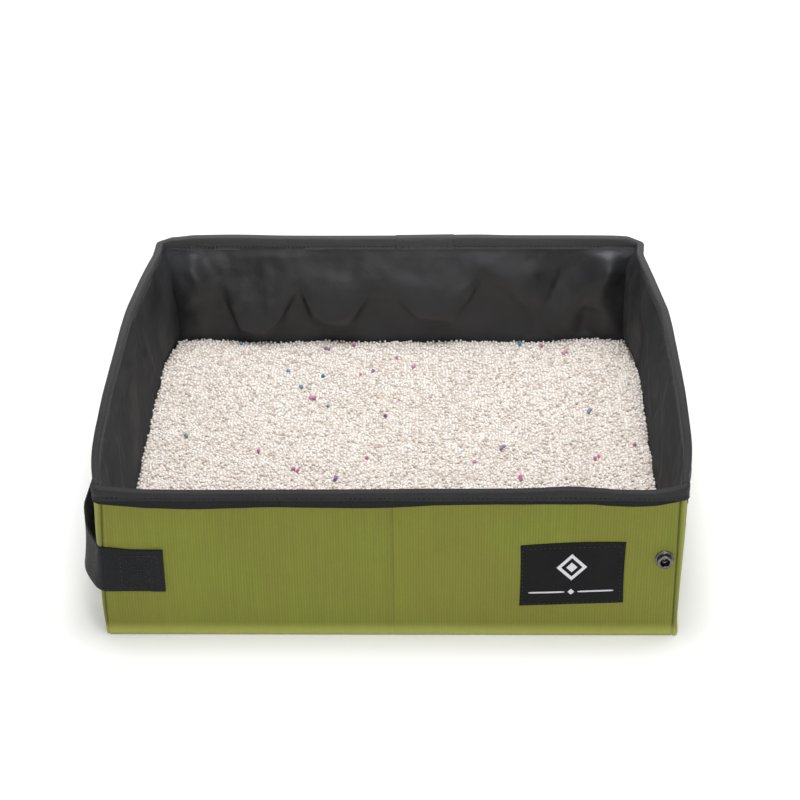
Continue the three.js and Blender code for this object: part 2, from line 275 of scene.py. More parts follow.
def crease(place, line, height, left, right):
    """A ridge along a line, with its own width on each side, that dies out at both ends."""
    away, share = off_line(place, line)
    width = left if away < 0 else right
    return height * bell(away, width) * smooth(4 * min(share, 1 - share) + 0.15)


def wander(x, y, size, seed):
    """Soft noise from -1 to 1 whose waves are about size long."""
    return noise.noise(Vector((x / size, y / size, seed * 3.7)))


# Meshes


def finished(name, bm, finish, thickness=0.0, offset=-1.0, edge=0.0):
    """An object at the origin that holds a bmesh in a finish.

    A thickness is given to cloth, away from the side that its faces look to, and edge softens its edges.
    """
    mesh = bpy.data.meshes.new(name)
    for face in bm.faces:
        face.smooth = True
    bm.to_mesh(mesh)
    bm.free()
    piece = bpy.data.objects.new(name, mesh)
    bpy.context.scene.collection.objects.link(piece)
    mesh.materials.append(material_of(finish))
    if thickness:
        wall = piece.modifiers.new("Thickness", "SOLIDIFY")
        wall.thickness = thickness
        wall.offset = offset
        wall.use_even_offset = True
    if edge:
        soft = piece.modifiers.new("Edge", "BEVEL")
        soft.width = edge
        soft.segments = 2
        soft.limit_method = "ANGLE"
        soft.angle_limit = math.radians(50)
    return piece


def mounted(piece, body, node=None):
    """Puts a piece on a body of the frame, and in place of a node if one is named."""
    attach(piece, body)
    if node:
        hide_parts(node)
    return piece


def cloth_grid(columns, rows, place, size, spread=((0, 0), (1, 1))):
    """A grid whose points place(across, up) sets, with a UV map in metres named Cloth.

    Spread says which share of the cloth each share of the columns reaches, so that some parts get more.
    """
    bm = bmesh.new()
    bmesh.ops.create_grid(bm, x_segments=columns, y_segments=rows, size=0.5)
    layer = bm.loops.layers.uv.new("Cloth")
    shares = {vertex: (through(spread, vertex.co.x + 0.5), vertex.co.y + 0.5) for vertex in bm.verts}
    for face in bm.faces:
        for loop in face.loops:
            across, up = shares[loop.vert]
            loop[layer].uv = ((across - 0.5) * size[0], up * size[1])
    for vertex in bm.verts:
        vertex.co = place(*shares[vertex])
    return bm


def marked(bm, name, value):
    """Writes a number on each point of a cloth, worked out from its flat place, for the material to read."""
    flat = bm.loops.layers.uv["Cloth"]
    layer = bm.verts.layers.float.new(name)
    for vertex in bm.verts:
        vertex[layer] = value(vertex.link_loops[0][flat].uv)


def revolve(profile, place):
    """A closed outline of radius and height, spun round its axis and put in place by a matrix."""
    bm = bmesh.new()
    points = [bm.verts.new((radius, 0, height)) for radius, height in profile]
    edges = [bm.edges.new(pair) for pair in zip(points, points[1:] + points[:1])]
    outline = points + edges
    turn = 2 * math.pi
    bmesh.ops.spin(bm, geom=outline, cent=(0, 0, 0), axis=(0, 0, 1), angle=turn, steps=64, use_merge=True)
    bmesh.ops.remove_doubles(bm, verts=bm.verts[:], dist=1e-6)
    bmesh.ops.transform(bm, matrix=place, verts=bm.verts[:])
    bmesh.ops.recalc_face_normals(bm, faces=bm.faces[:])
    return bm


def stitch(bm, middle, along, outward, length, thread):
    """One stitch: a low bead of thread that lies on the cloth."""
    side = outward.cross(along).normalized()
    bead = Matrix((along * length / 2, side * thread / 2, outward * thread * 0.45)).transposed()
    place = Matrix.Translation(middle) @ bead.to_4x4()
    bmesh.ops.create_icosphere(bm, subdivisions=1, radius=1, matrix=place)


def stitch_line(bm, place, start, end, lift, thread=0.0007):
    """A row of stitches along the line that place(distance) gives as a point and the way out."""
    pitch = sizes().stitch_pitch
    count = max(int(abs(end - start) / pitch), 1)
    for step in range(count):
        at = start + (end - start) * (step + 0.5) / count
        middle, outward = place(at)
        ahead, _ = place(at + 0.0005)
        along = (ahead - middle).normalized()
        stitch(bm, middle + outward * lift, along, outward, pitch * 0.72, thread)


# Shader nodes


class Nodes:
    """Adds nodes to one tree. A socket is set to a value, or fed by another node's output."""

    def __init__(self, tree):
        self.tree = tree

    def feed(self, socket, value):
        if isinstance(value, bpy.types.NodeSocket):
            self.tree.links.new(value, socket)
        else:
            socket.default_value = value

    def add(self, kind, sockets=(), **settings):
        made = self.tree.nodes.new(kind)
        for key, value in settings.items():
            setattr(made, key, value)
        for socket, value in dict(sockets).items():
            self.feed(made.inputs[socket], value)
        return made

    def sum_of(self, operation, first, second=0.0):
        return self.add("ShaderNodeMath", {0: first, 1: second}, operation=operation).outputs[0]

    def mapped(self, value, low, high, to_low, to_high, kind="LINEAR"):
        limits = {"Value": value, "From Min": low, "From Max": high, "To Min": to_low, "To Max": to_high}
        return self.add("ShaderNodeMapRange", limits, interpolation_type=kind).outputs["Result"]

    def mixed(self, share, first, second):
        return self.add("ShaderNodeMix", {0: share, 6: first, 7: second}, data_type="RGBA").outputs[2]

    def part(self, vector, axis):
        return self.add("ShaderNodeSeparateXYZ", {0: vector}).outputs[axis]

    def noise(self, place, scale, detail, others=()):
        sockets = {"Vector": place, "Scale": scale, "Detail": detail, **dict(others)}
        return self.add("ShaderNodeTexNoise", sockets).outputs["Fac"]

    def attribute(self, name):
        return self.add("ShaderNodeAttribute", attribute_name=name).outputs["Fac"]

    def group(self, name, sockets):
        return self.add("ShaderNodeGroup", sockets, node_tree=group_of(name)).outputs


def new_group(name, inputs, outputs):
    """A node group, with its vector and number inputs and its number outputs."""
    tree = bpy.data.node_groups.new(name, "ShaderNodeTree")
    for label, default in inputs.items():
        kind = "NodeSocketVector" if default is None else "NodeSocketFloat"
        socket = tree.interface.new_socket(name=label, in_out="INPUT", socket_type=kind)
        if default is not None:
            socket.default_value = default
    for label in outputs:
        tree.interface.new_socket(name=label, in_out="OUTPUT", socket_type="NodeSocketFloat")
    nodes = Nodes(tree)
    return nodes, nodes.add("NodeGroupInput").outputs, nodes.add("NodeGroupOutput").inputs


def crossed_threads():
    """Ribs one way and finer threads the other way, with some threads paler than others."""
    inputs = {"Surface": None, "Ribs per metre": 620.0, "Threads per metre": 1300.0, "Thread share": 0.3}
    nodes, given, made = new_group("Crossed threads", inputs, ("Height", "Streak"))
    across, along = (nodes.part(given["Surface"], axis) for axis in (0, 1))
    waves = []
    for place, count in ((across, "Ribs per metre"), (along, "Threads per metre")):
        turns = nodes.sum_of("MULTIPLY", place, given[count])
        angle = nodes.sum_of("MULTIPLY", turns, math.pi)
        waves.append(nodes.sum_of("ABSOLUTE", nodes.sum_of("SINE", angle)))
    both = {0: given["Thread share"], 2: waves[0], 3: waves[1]}
    height = nodes.add("ShaderNodeMix", both, data_type="FLOAT").outputs[0]
    thread = nodes.sum_of("MULTIPLY", across, given["Ribs per metre"])
    stretched = nodes.add("ShaderNodeCombineXYZ", {0: thread, 1: nodes.sum_of("MULTIPLY", along, 28.0)})
    nodes.feed(made["Height"], height)
    nodes.feed(made["Streak"], nodes.noise(stretched.outputs[0], 0.55, 3.0, {"Roughness": 0.6}))
    return nodes.tree


def handling():
    """Large soft patches of wear, and fine specks of dust."""
    inputs = {"Place": None, "Patch size": 0.06, "Speck size": 0.0016}
    nodes, given, made = new_group("Handling", inputs, ("Patch", "Speck"))
    for name, detail in (("Patch", 4.0), ("Speck", 2.0)):
        scale = nodes.sum_of("DIVIDE", 1.0, given[f"{name} size"])
        pattern = nodes.noise(given["Place"], scale, detail)
        nodes.feed(made[name], nodes.mapped(pattern, 0.3, 0.7, 0.0, 1.0, "SMOOTHSTEP"))
    return nodes.tree


def group_of(name):
    makers = {"Crossed threads": crossed_threads, "Handling": handling}
    return bpy.data.node_groups.get(name) or makers[name]()


class Finish(Nodes):
    """A new material, with the place in the box, and its wear where it has any."""

    def __init__(self, name, patch_size=None, speck_size=None):
        self.material = bpy.data.materials.new(name)
        self.material.use_nodes = True
        super().__init__(self.material.node_tree)
        self.shader = self.tree.nodes["Principled BSDF"].inputs
        self.place = self.add("ShaderNodeTexCoord").outputs["Object"]
        if patch_size:
            sockets = {"Place": self.place, "Patch size": patch_size, "Speck size": speck_size}
            self.patch, self.speck = self.group("Handling", sockets)

    def weave(self, ribs, threads, share=0.3, surface=None):
        """Height and streak of crossed threads, on the cloth's flat coordinates if no others are given."""
        surface = surface or self.add("ShaderNodeUVMap", uv_map="Cloth").outputs[0]
        counts = {"Ribs per metre": ribs, "Threads per metre": threads, "Thread share": share}
        return self.group("Crossed threads", {"Surface": surface, **counts})

    def worn(self, low, high):
        """How strongly a patch shows."""
        return self.mapped(self.patch, low, 1.0, 0.0, high)

    def colour(self, value):
        self.feed(self.shader["Base Color"], value)

    def rough(self, value, low, high):
        """Roughness from low to high, as a value goes from 0 to 1."""
        self.feed(self.shader["Roughness"], self.mapped(value, 0.0, 1.0, low, high))

    def bump(self, height, distance, strength, under=None):
        sockets = {"Height": height, "Distance": distance, "Strength": strength}
        if under:
            sockets["Normal"] = under
        made = self.add("ShaderNodeBump", sockets).outputs[0]
        self.feed(self.shader["Normal"], made)
        return made


# Finishes

# Painted shade: the dark green put in the hollows between the cloth's ribs.
rib_hollow_shade = (0.02, 0.03, 0.004)
# Painted light: the lighter grey that the rim tape takes on towards the back.
back_light_grey = (0.075, 0.075, 0.078)
chalk = (0.96, 0.93, 0.90)
powder = (0.8, 0.74, 0.7)
board_grey = ((0.52, 0.51, 0.47), (0.62, 0.61, 0.57))


def ribbed_cloth():
    """Olive oxford cloth: upright ribs, streaks where the thread varies, painted shade in the rib hollows,
    seams and middle crease, and painted light that makes the foot and the cloth past the upright seams
    paler.
    """
    made = Finish("Ribbed cloth", 0.07, 0.0022)
    height, streak = made.weave(470.0, 1500.0)
    green = colours().cloth
    browner = made.mapped(made.noise(made.place, 13.0, 2.0), 0.35, 0.65, 0.0, 1.0)
    patchy = made.mixed(browner, scaled(green), scaled(colours().cloth_brown))
    # Painted shade: the cloth is darker in the hollows between its ribs.
    ribbed = made.mixed(made.mapped(height, 0.0, 1.0, 0.36, 0.0), patchy, scaled(rib_hollow_shade))
    streaky = made.mixed(made.mapped(streak, 0.35, 0.7, 0.0, 0.4), ribbed, scaled(green, 0.66))
    # Painted shade: the cloth is darkened in the groove of each upright seam and along the middle crease.
    seam_shaded = made.mixed(made.attribute("seam"), streaky, scaled(green, 0.16))
    worn = made.mixed(made.worn(0.0, 0.12), seam_shaded, scaled(green, 1.25))
    # Painted light: the cloth turns paler towards its foot and past its upright seams, as if light caught it
    # there.
    foot = made.mapped(made.part(made.place, 2), 0.0135, 0.0015, 0.0, 0.9, "SMOOTHSTEP")
    painted_edge_light = made.sum_of("MAXIMUM", foot, made.attribute("paler"))
    made.colour(made.mixed(painted_edge_light, worn, scaled(colours().cloth_edge_light)))
    made.rough(made.speck, 0.78, 0.92)
    made.shader["Sheen Weight"].default_value = 0.12
    made.shader["Sheen Roughness"].default_value = 0.5
    made.bump(height, 0.00022, 0.55)
    return made.material


def coated_lining():
    """Black cloth with a satin coating, a little uneven and finely creased, that is dull at a slant."""
    made = Finish("Coated lining", 0.045, 0.003)
    black = colours().lining
    made.colour(made.mixed(made.patch, scaled(black, 0.85), scaled(black, 1.3)))
    satin = made.mapped(made.patch, 0.0, 1.0, 0.40, 0.50)
    slant = made.add("ShaderNodeLayerWeight", {"Blend": 0.5}).outputs["Facing"]
    duller = made.mapped(slant, 0.45, 0.85, 0.0, 0.5, "SMOOTHSTEP")
    made.feed(made.shader["Roughness"], made.sum_of("ADD", satin, duller))
    made.shader["Specular IOR Level"].default_value = 0.45
    fine = made.bump(made.speck, 0.00008, 0.35)
    made.bump(made.noise(made.place, 55.0, 3.0, {"Distortion": 0.6}), 0.0012, 0.35, fine)
    return made.material


def woven_tape(name, black, ribs, threads, share, relief, shine, dust=0.0):
    """Black tape or webbing: its own weave with painted shade in its hollows, paler where it is rubbed, and,
    by the given share, paler towards the back in a lighter grey that is painted light.
    """
    made = Finish(name, 0.03, 0.0012)
    height = made.weave(ribs, threads, share)["Height"]
    # Painted shade: the tape is darker in the hollows of its weave.
    base = made.mixed(height, scaled(black, 0.55), scaled(black, 1.25))
    shown = made.mixed(made.worn(0.2, 0.3), base, scaled(black, 1.9))
    # Painted light: the tape is made paler towards the back, in a lighter grey.
    if dust:
        back_lit = made.mapped(made.part(made.place, 1), -0.17, half_depth, 0.0, dust, "SMOOTHSTEP")
        shown = made.mixed(back_lit, shown, scaled(back_light_grey))
    made.colour(shown)
    made.rough(made.speck, 0.62, 0.8)
    made.shader["Specular IOR Level"].default_value = shine
    made.shader["Sheen Weight"].default_value = 0.04
    made.bump(height, relief, 0.7)
    return made.material


def black_thread():
    """Sewing thread, with fine darker and lighter specks."""
    made = Finish("Black thread", 0.02, 0.0009)
    black = colours().tape
    made.colour(made.mixed(made.speck, scaled(black, 0.7), scaled(black, 1.3)))
    made.rough(made.patch, 0.5, 0.65)
    return made.material


def motif_thread():
    """Pale satin thread: fine floats that lie across the motif."""
    made = Finish("Motif thread")
    height, streak = made.weave(2600.0, 500.0, surface=made.place)
    pale = colours().motif
    # Painted shade: the thread is darker in the hollows of its weave.
    made.colour(made.mixed(height, scaled(pale, 0.72), scaled(pale, 1.1)))
    made.feed(made.shader["Roughness"], made.mapped(streak, 0.3, 0.7, 0.45, 0.6))
    made.bump(height, 0.0001, 0.6)
    return made.material


def plated_metal():
    """Dark plating, rubbed to brighter metal in places, with fine scuffs."""
    made = Finish("Plated metal", 0.004, 0.0005)
    dark = colours().metal
    made.colour(made.mixed(made.patch, scaled(dark, 0.75), scaled(dark, 1.9)))
    made.rough(made.speck, 0.22, 0.36)
    made.shader["Metallic"].default_value = 1.0
    return made.material


def stiff_board():
    """Grey stiffener sheet with a pressed grain."""
    made = Finish("Stiff board", 0.05, 0.002)
    made.colour(made.mixed(made.speck, *(scaled(grey) for grey in board_grey)))
    made.rough(made.patch, 0.5, 0.65)
    made.bump(made.speck, 0.0001, 0.4)
    return made.material


def granules():
    """Chalky cream granules, each with a tone of its own."""
    made = Finish("Granules", 0.05, 0.0009)
    tone = made.attribute("grain_tone")
    dark = scaled(colours().grain_dark)
    dull = made.mapped(tone, 0.0, 0.35, 1.0, 0.0, "SMOOTHSTEP")
    base = made.mixed(dull, scaled(colours().grain), dark)
    chalky = made.mixed(made.mapped(tone, 0.7, 1.0, 0.0, 0.8), base, scaled(chalk))
    made.colour(made.mixed(made.worn(0.0, 0.12), chalky, dark))
    made.rough(made.speck, 0.85, 0.97)
    made.bump(made.speck, 0.0003, 0.5)
    return made.material


def tinted(name, colour):
    """Coloured granules, paler where they are powdered."""
    made = Finish(name, 0.004, 0.0008)
    made.colour(made.mixed(made.worn(0.0, 0.35), scaled(colour), scaled(powder)))
    made.rough(made.speck, 0.8, 0.95)
    return made.material


def material_of(name):
    """Each finish is made once, the first time that a piece asks for it."""
    tones = colours()
    plain = {
        "Ribbed cloth": ribbed_cloth,
        "Coated lining": coated_lining,
        "Black thread": black_thread,
        "Motif thread": motif_thread,
        "Plated metal": plated_metal,
        "Stiff board": stiff_board,
        "Granules": granules,
    }
    tapes = {
        # The last number of the rim tape is the share of painted light that makes it paler towards the back.
        "Rim tape": (tones.tape, 1100.0, 1700.0, 0.4, 0.00012, 0.35, 0.7),
        # The turned lining is a darker copy of the lining: painted shade under the tape.
        "Turned lining": (tones.lining * 0.5, 1500.0, 1500.0, 0.5, 0.00005, 0.2),
        "Webbing": (tones.webbing, 480.0, 620.0, 0.5, 0.0003, 0.2),
        "Label cloth": (tones.label, 2200.0, 1500.0, 0.5, 0.00006, 0.12),
    }
    tints = {
        "Teal granules": (0.02, 0.19, 0.30),
        "Pink granules": (0.52, 0.10, 0.30),
        "Violet granules": (0.20, 0.07, 0.26),
    }
    if name in bpy.data.materials:
        return bpy.data.materials[name]
    if name in tapes:
        return woven_tape(name, *tapes[name])
    if name in tints:
        return tinted(name, tints[name])
    return plain[name]()


# Lines and faces of the walls

# How far the upright corners are drawn in, by height: the right ones lean in to the floor
right_draw = [
    (0.0, 0.0006), (0.004, 0.0008), (0.021, 0.0020), (0.049, 0.0017), (0.082, 0.0010), (rim_top, 0.0),
]
left_draw = [(0.0, 0.0006), (0.037, -0.0008), (0.080, -0.0004), (rim_top, 0.0)]

# How much of the lean an end wall has, from its corner (0) to the crease of its board (1)

front_bow_shares = [
    (0.0, 0.0), (0.07, 0.05), (0.19, 0.34), (0.31, 0.56), (0.44, 0.71), (0.57, 0.80), (0.71, 0.86),
    (0.84, 0.92), (1.0, 0.98), (1.2, 1.0),
]
left_back_bow_shares = [
    (0.0, 0.0), (0.14, 0.01), (0.31, 0.18), (0.48, 0.37), (0.65, 0.57), (0.82, 0.77), (1.0, 0.94),
    (1.2, 1.0),
]
right_back_bow_shares = [
    (0.0, 0.0), (0.07, -0.10), (0.15, -0.20), (0.32, -0.02), (0.50, 0.22), (0.66, 0.45), (0.83, 0.70),
    (1.0, 0.93), (1.2, 1.0),
]


# How far from the corner the slanted crease beside an end's board starts

crease_inset = 0.006


def turned(point, facing):
    """The back wall is the front wall turned half round."""
    return Vector((point.x * facing, point.y * facing, point.z))


def corner_out(z, side):
    """How far out an upright corner stands at a height, on the right (1) or the left (-1)."""
    return half_width - through(right_draw if side > 0 else left_draw, z)


def corner_round(z):
    """The upright corners are nearly square at the floor and rounder at the rim."""
    at_floor = 0.0028
    return at_floor + (corner_radius - at_floor) * clamp(z / rim_top)


def cloth_run(z, side):
    """Length of a front or back cover at a height, from its middle round the corner to its end."""
    return corner_out(z, side) + corner_radius - corner_round(z) * (2 - math.pi / 2)


def wall_point(along, out, z, facing):
    """A point of the front (1) or back (-1) wall at a distance along its cloth, and the way out."""
    side = math.copysign(1, along)
    radius = corner_round(z)
    straight = corner_out(z, side * facing) - radius
    over = abs(along) - straight
    turn = clamp(over / radius, 0, math.pi / 2)
    outward = Vector((side * math.sin(turn), -math.cos(turn), 0))
    centre = Vector((along if over <= 0 else side * straight, radius - half_depth, z))
    point = centre + outward * (radius + out)
    point.y += max(over - radius * math.pi / 2, 0)
    return turned(point, facing), turned(outward, facing)


def board_crease(rise):
    """Where the slanted crease beside an end's board runs, as a distance from the middle, by height."""
    return inner_half_depth - crease_inset - rise


def end_bow(y, z, side):
    """How far an end wall leans out at a place: its board lies flat, and its soft corners are drawn in."""
    rise = max(z - end_hinge.z, 0)
    corner = half_depth - crease_inset
    pull = max(corner - abs(y), 0) / (corner - board_crease(rise))
    back_bow_shares = right_back_bow_shares if side > 0 else left_back_bow_shares
    return rise * math.tan(end_lean) * through(front_bow_shares if y < 0 else back_bow_shares, pull)


def near_corner(y):
    """How near a place is to an upright corner, from 0 along most of an end to 1 at its corners."""
    return smooth((abs(y) - 0.165) / 0.032)


def end_point(y, z, out, side):
    """A point of an end wall, out from its outer face."""
    reach = half_width + (corner_out(z, side) - half_width) * near_corner(y)
    return Vector((side * (reach + out + end_bow(y, z, side)), y, z))


def end_flatten(piece):
    """Gives a piece on an end wall a mesh of its own."""
    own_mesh(piece)


def foot_curl(z, radius):
    """How far a wall's cloth turns in under the box near the floor."""
    if z >= radius:
        return 0.0
    return radius - math.sqrt(max(radius**2 - (radius - z) ** 2, 0.0))


# How much higher the rim stands along the front and the back, by place from left to right

front_rim_rise = [
    (-0.217, 0.0010), (-0.200, -0.0008), (-0.178, -0.0024), (-0.140, -0.0030), (-0.108, -0.0029),
    (-0.067, -0.0026), (-0.015, -0.0024), (0.036, -0.0018), (0.088, -0.0014), (0.108, -0.0009),
    (0.132, 0.0003), (0.150, -0.0009), (0.171, -0.0027), (0.190, -0.0030), (0.204, -0.0012),
    (0.217, 0.0022),
]
back_rim_rise = [
    (-0.217, 0.0022), (-0.206, 0.0012), (-0.185, 0.0032), (-0.150, 0.0036), (-0.100, 0.0026),
    (-0.050, 0.0022), (0.000, 0.0025), (0.040, 0.0030), (0.070, 0.0033), (0.100, 0.0026), (0.150, 0.0023),
    (0.190, 0.0020), (0.217, 0.0004),
]


def rim_wave(x, y):
    """How much higher the rim stands at a place: it sags along the front and stands up at the back.

    At the two back corners the rim droops a little.
    """
    back = smooth((y + half_depth) / (2 * half_depth))
    droop = 0.0034 if x > 0 else 0.0044
    corner = smooth((abs(x) - 0.205) / 0.013) * smooth((y - 0.12) / 0.08)
    return through(front_rim_rise, x) * (1 - back) + through(back_rim_rise, x) * back - droop * corner


def waved(point, z):
    """A place at a height: the cloth is level up to the sewn edge of the tape, and waves above it."""
    sewn = rim_top - sizes().tape_drop
    return Vector((point.x, point.y, z + rim_wave(point.x, point.y) * smooth((z - sewn) / 0.007)))


# Pieces


class LITTERBOX_OT_camera(bpy.types.Operator):
    """Sets the camera where the photograph was taken from"""

    bl_idname = "litterbox.camera"
    bl_label = "Camera"

    def execute(self, context):
        place = Vector((0.03975, -1.4456, 0.9661))
        pitch, yaw, roll = (math.radians(angle) for angle in (31.294, -1.434, -0.767))
        ahead = Vector((math.sin(yaw) * math.cos(pitch), math.cos(yaw) * math.cos(pitch), -math.sin(pitch)))
        level = ahead.cross(Vector((0, 0, 1))).normalized()
        above = level.cross(ahead)
        right = level * math.cos(roll) + above * math.sin(roll)
        up = above * math.cos(roll) - level * math.sin(roll)
        data = bpy.data.cameras.new("Camera")
        data.lens = 91.41
        data.sensor_width = 36.0
        camera = bpy.data.objects.new("Camera", data)
        camera.matrix_world = Matrix.Translation(place) @ Matrix((right, up, -ahead)).transposed().to_4x4()
        context.scene.collection.objects.link(camera)
        context.scene.camera = camera
        return {"FINISHED"}


# Where the upright seams run on the front and back, by height, as distances from the middle

right_seam = [(0.0, 0.2147), (0.049, 0.2143), (rim_top, 0.2140)]
left_seam = [(0.0, 0.2186), (0.045, 0.2176), (0.098, 0.2150), (rim_top, 0.2128)]
crease_at_middle = 0.0015


def past_seam(along, z, facing):
    """How far a place is outside the upright seam that is nearest to it."""
    return abs(along) - through(right_seam if along * facing > 0 else left_seam, z)


def cloth_band(z, above_foot):
    """One over most of a cover's height, dying out towards its foot and under the tape."""
    return smooth((turned_edge_foot - z) / 0.02) * smooth(above_foot / 0.02)


def wall_relief(along, z, facing, seed):
    """The cloth stands off its boards a little, is drawn in at its seams and creased at the middle."""
    band = cloth_band(z, z - 0.008)
    soft = 0.0005 * (1 + wander(along, z, 0.055, seed)) * band
    past = past_seam(along, z, facing)
    groove = 0.0011 * bell(past, 0.0007)
    piping = 0.0006 * bell(past - 0.0018, 0.0012)
    ridge = 0.0005 * bell(past + 0.0022, 0.0016) * band
    middle = along - crease_at_middle
    fold = 0.0006 * bell(middle, 0.0009) * (0.4 + 0.6 * smooth(z / 0.06))
    beside = 0.0005 * bell(middle, 0.006) * band
    return soft - groove + piping + ridge - fold + beside


class LITTERBOX_OT_wall_covers(bpy.types.Operator):
    """Covers the front and back walls with ribbed cloth that turns the corners and reaches the floor"""

    bl_idname = "litterbox.wall_covers"
    bl_label = "Front and back covers"

    def execute(self, context):
        tuck = 0.002
        foot = 0.0003
        reach = cloth_run(panel_top, 1) + tuck
        thickness = sizes().cloth_thickness
        spread = ((0, 0), (0.17, 0.07), (0.43, 0.48), (0.57, 0.527), (0.83, 0.93), (1, 1))

        for name, facing in walls:
            def cloth_place(across, up):
                share = across * 2 - 1
                z = foot + (panel_top - foot) * up
                return share * (cloth_run(z, math.copysign(1, share) * facing) + tuck), z

            def place(across, up):
                along, z = cloth_place(across, up)
                ending = cloth_run(z, math.copysign(1, along) * facing)
                under = smooth((abs(along) - ending + 0.001) / 0.002) * thickness
                seed = 1 if facing > 0 else 2
                out = wall_relief(along, z, facing, seed) - foot_curl(z, 0.0014) - under
                return waved(wall_point(along, out, z, facing)[0], z)

            # The seam attribute holds painted shade: deepest in the groove of an upright seam, fainter along
            # the middle crease.
            def seam(flat):
                along, z = cloth_place(flat.x / (2 * reach) + 0.5, flat.y / panel_top)
                middle = along - crease_at_middle
                crease_shade = 0.2 * bell(middle, 0.0007) + 0.08 * bell(middle + 0.003, 0.003)
                return max(0.85 * bell(past_seam(along, z, facing), 0.0006), crease_shade)

            # The paler attribute holds painted light on the cloth past an upright seam, where it turns the
            # corner.
            def paler(flat):
                along, z = cloth_place(flat.x / (2 * reach) + 0.5, flat.y / panel_top)
                return 0.5 * smooth((past_seam(along, z, facing) - 0.0012) / 0.003)

            bm = cloth_grid(400, 68, place, (2 * reach, panel_top), spread)
            marked(bm, "seam", seam)
            marked(bm, "paler", paler)
            cover = finished(f"{name}_cover_cloth", bm, "Ribbed cloth", thickness)
            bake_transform(cover)
            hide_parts(f"{name}_cover")
        return {"FINISHED"}


class LITTERBOX_OT_end_covers(bpy.types.Operator):
    """Covers the leaning end walls and their soft corners, and closes the fold at their feet"""

    bl_idname = "litterbox.end_covers"
    bl_label = "End covers"

    def execute(self, context):
        reach = end_half_span + 0.0006
        foot = 0.0003
        split = 0.0085
        overlap = 0.0006
        thickness = sizes().cloth_thickness

        for name, side in ends:
            def relief(y, z):
                rise = z - end_hinge.z
                gusset = 0.0009 * bell(abs(y) - board_crease(rise), 0.006) * smooth(rise / 0.05)
                soft = 0.0004 * (1 + wander(y, z, 0.06, 5 + side))
                return (gusset + soft) * cloth_band(z, rise)

            def sheet_point(across, up):
                y = (across * 2 - 1) * reach * side
                z = split - overlap + (panel_top - split + overlap) * up
                return waved(end_point(y, z, relief(y, z), side), z)

            def foot_point(across, up):
                y = (across * 2 - 1) * reach * side
                z = foot + (split - foot) * up
                return end_point(y, z, 0.0001 - foot_curl(z, 0.0018), side)

            bm = cloth_grid(150, 56, sheet_point, (2 * reach, panel_top))
            cover = finished(f"{name}_cover_cloth", bm, "Ribbed cloth", thickness)
            mounted(cover, name, f"{name}_cover")
            end_flatten(cover)

            bm = cloth_grid(150, 12, foot_point, (2 * reach, split))
            fold = finished(f"{name}_foot_cloth", bm, "Ribbed cloth", thickness)
            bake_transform(fold)
        return {"FINISHED"}


class LITTERBOX_OT_base(bpy.types.Operator):
    """Makes the cloth under the box and the lining of its floor, both creased across the middle"""

    bl_idname = "litterbox.base"
    bl_label = "Base"

    def execute(self, context):
        inset = 0.0012
        half_x, half_y = half_width - inset, half_depth - inset
        lining_x, lining_y = floor_high.x - inset, floor_high.y - inset

        def under_point(across, up):
            side = math.copysign(1, 0.5 - across)
            y = (up * 2 - 1) * half_y
            reach = half_x - (half_width - corner_out(0, side)) * near_corner(y)
            x = (1 - across * 2) * reach
            edge = min(reach - abs(x), half_y - abs(y))
            lift = 0.0034 * (1 - smooth(edge / 0.004))
            fold = 0.0006 * bell(x, 0.002)
            return Vector((x, y, 0.0002 + lift + fold))

        def floor_point(across, up):
            x = (across * 2 - 1) * lining_x
            y = (up * 2 - 1) * lining_y
            rise = 0.0036 * (1 - smooth((lining_y - abs(y)) / 0.006))
            fold = 0.0004 * bell(x, 0.0025)
            soft = 0.00012 * wander(x, y, 0.03, 11)
            return Vector((x, y, floor_top + rise - fold + soft - 0.0001))

        bm = cloth_grid(200, 190, under_point, (2 * half_x, 2 * half_y))
        under = finished("base_cover_cloth", bm, "Ribbed cloth", sizes().cloth_thickness)
        mounted(under, "base", "base_cover")

        bm = cloth_grid(180, 170, floor_point, (2 * lining_x, 2 * lining_y))
        floor = finished("floor_lining", bm, "Coated lining", sizes().lining_thickness)
        mounted(floor, "base", "base_liner")
        return {"FINISHED"}


# Folds of the lining. A place is given as shares of the wall's half length and of the rim's height, as
# seen from inside the box facing that wall, so that a plus place is on the right of the back wall.

back_swag_shares = [
    (-1.0, 0.70), (-0.87, 0.674), (-0.755, 0.667), (-0.68, 0.40), (-0.61, 0.363), (-0.52, 0.467),
    (-0.43, 0.674), (-0.37, 0.504), (-0.28, 0.437), (-0.22, 0.459), (-0.11, 0.652), (-0.02, 0.64),
    (0.07, 0.50), (0.15, 0.47), (0.22, 0.489), (0.29, 0.622), (0.36, 0.785), (0.44, 0.704), (0.50, 0.607),
    (0.56, 0.541), (0.62, 0.63), (0.68, 0.785), (0.80, 0.88), (1.0, 0.90),
]
back_crease_shares = [
    ([(-0.90, 0.93), (-0.865, 0.745), (-0.83, 0.48), (-0.86, 0.24)], 0.55, 0.012, 0.035),
    ([(-0.72, 0.55), (-0.70, 0.36), (-0.66, 0.22)], -0.2, 0.020, 0.016),
    ([(0.86, 0.92), (0.69, 0.785), (0.58, 0.55), (0.49, 0.28)], -0.32, 0.010, 0.016),
    ([(0.925, 0.90), (0.78, 0.63), (0.62, 0.33)], 0.55, 0.018, 0.014),
    ([(0.81, 0.53), (0.765, 0.27)], -0.35, 0.012, 0.008),
    ([(0.93, 0.92), (0.87, 0.74), (0.85, 0.49), (0.92, 0.24)], 0.42, 0.020, 0.011),
]
front_swag_shares = [
    (-1.0, 0.6), (-0.8, 0.72), (-0.55, 0.48), (-0.3, 0.7), (-0.05, 0.5), (0.2, 0.68), (0.5, 0.45),
    (0.8, 0.7), (1.0, 0.6),
]
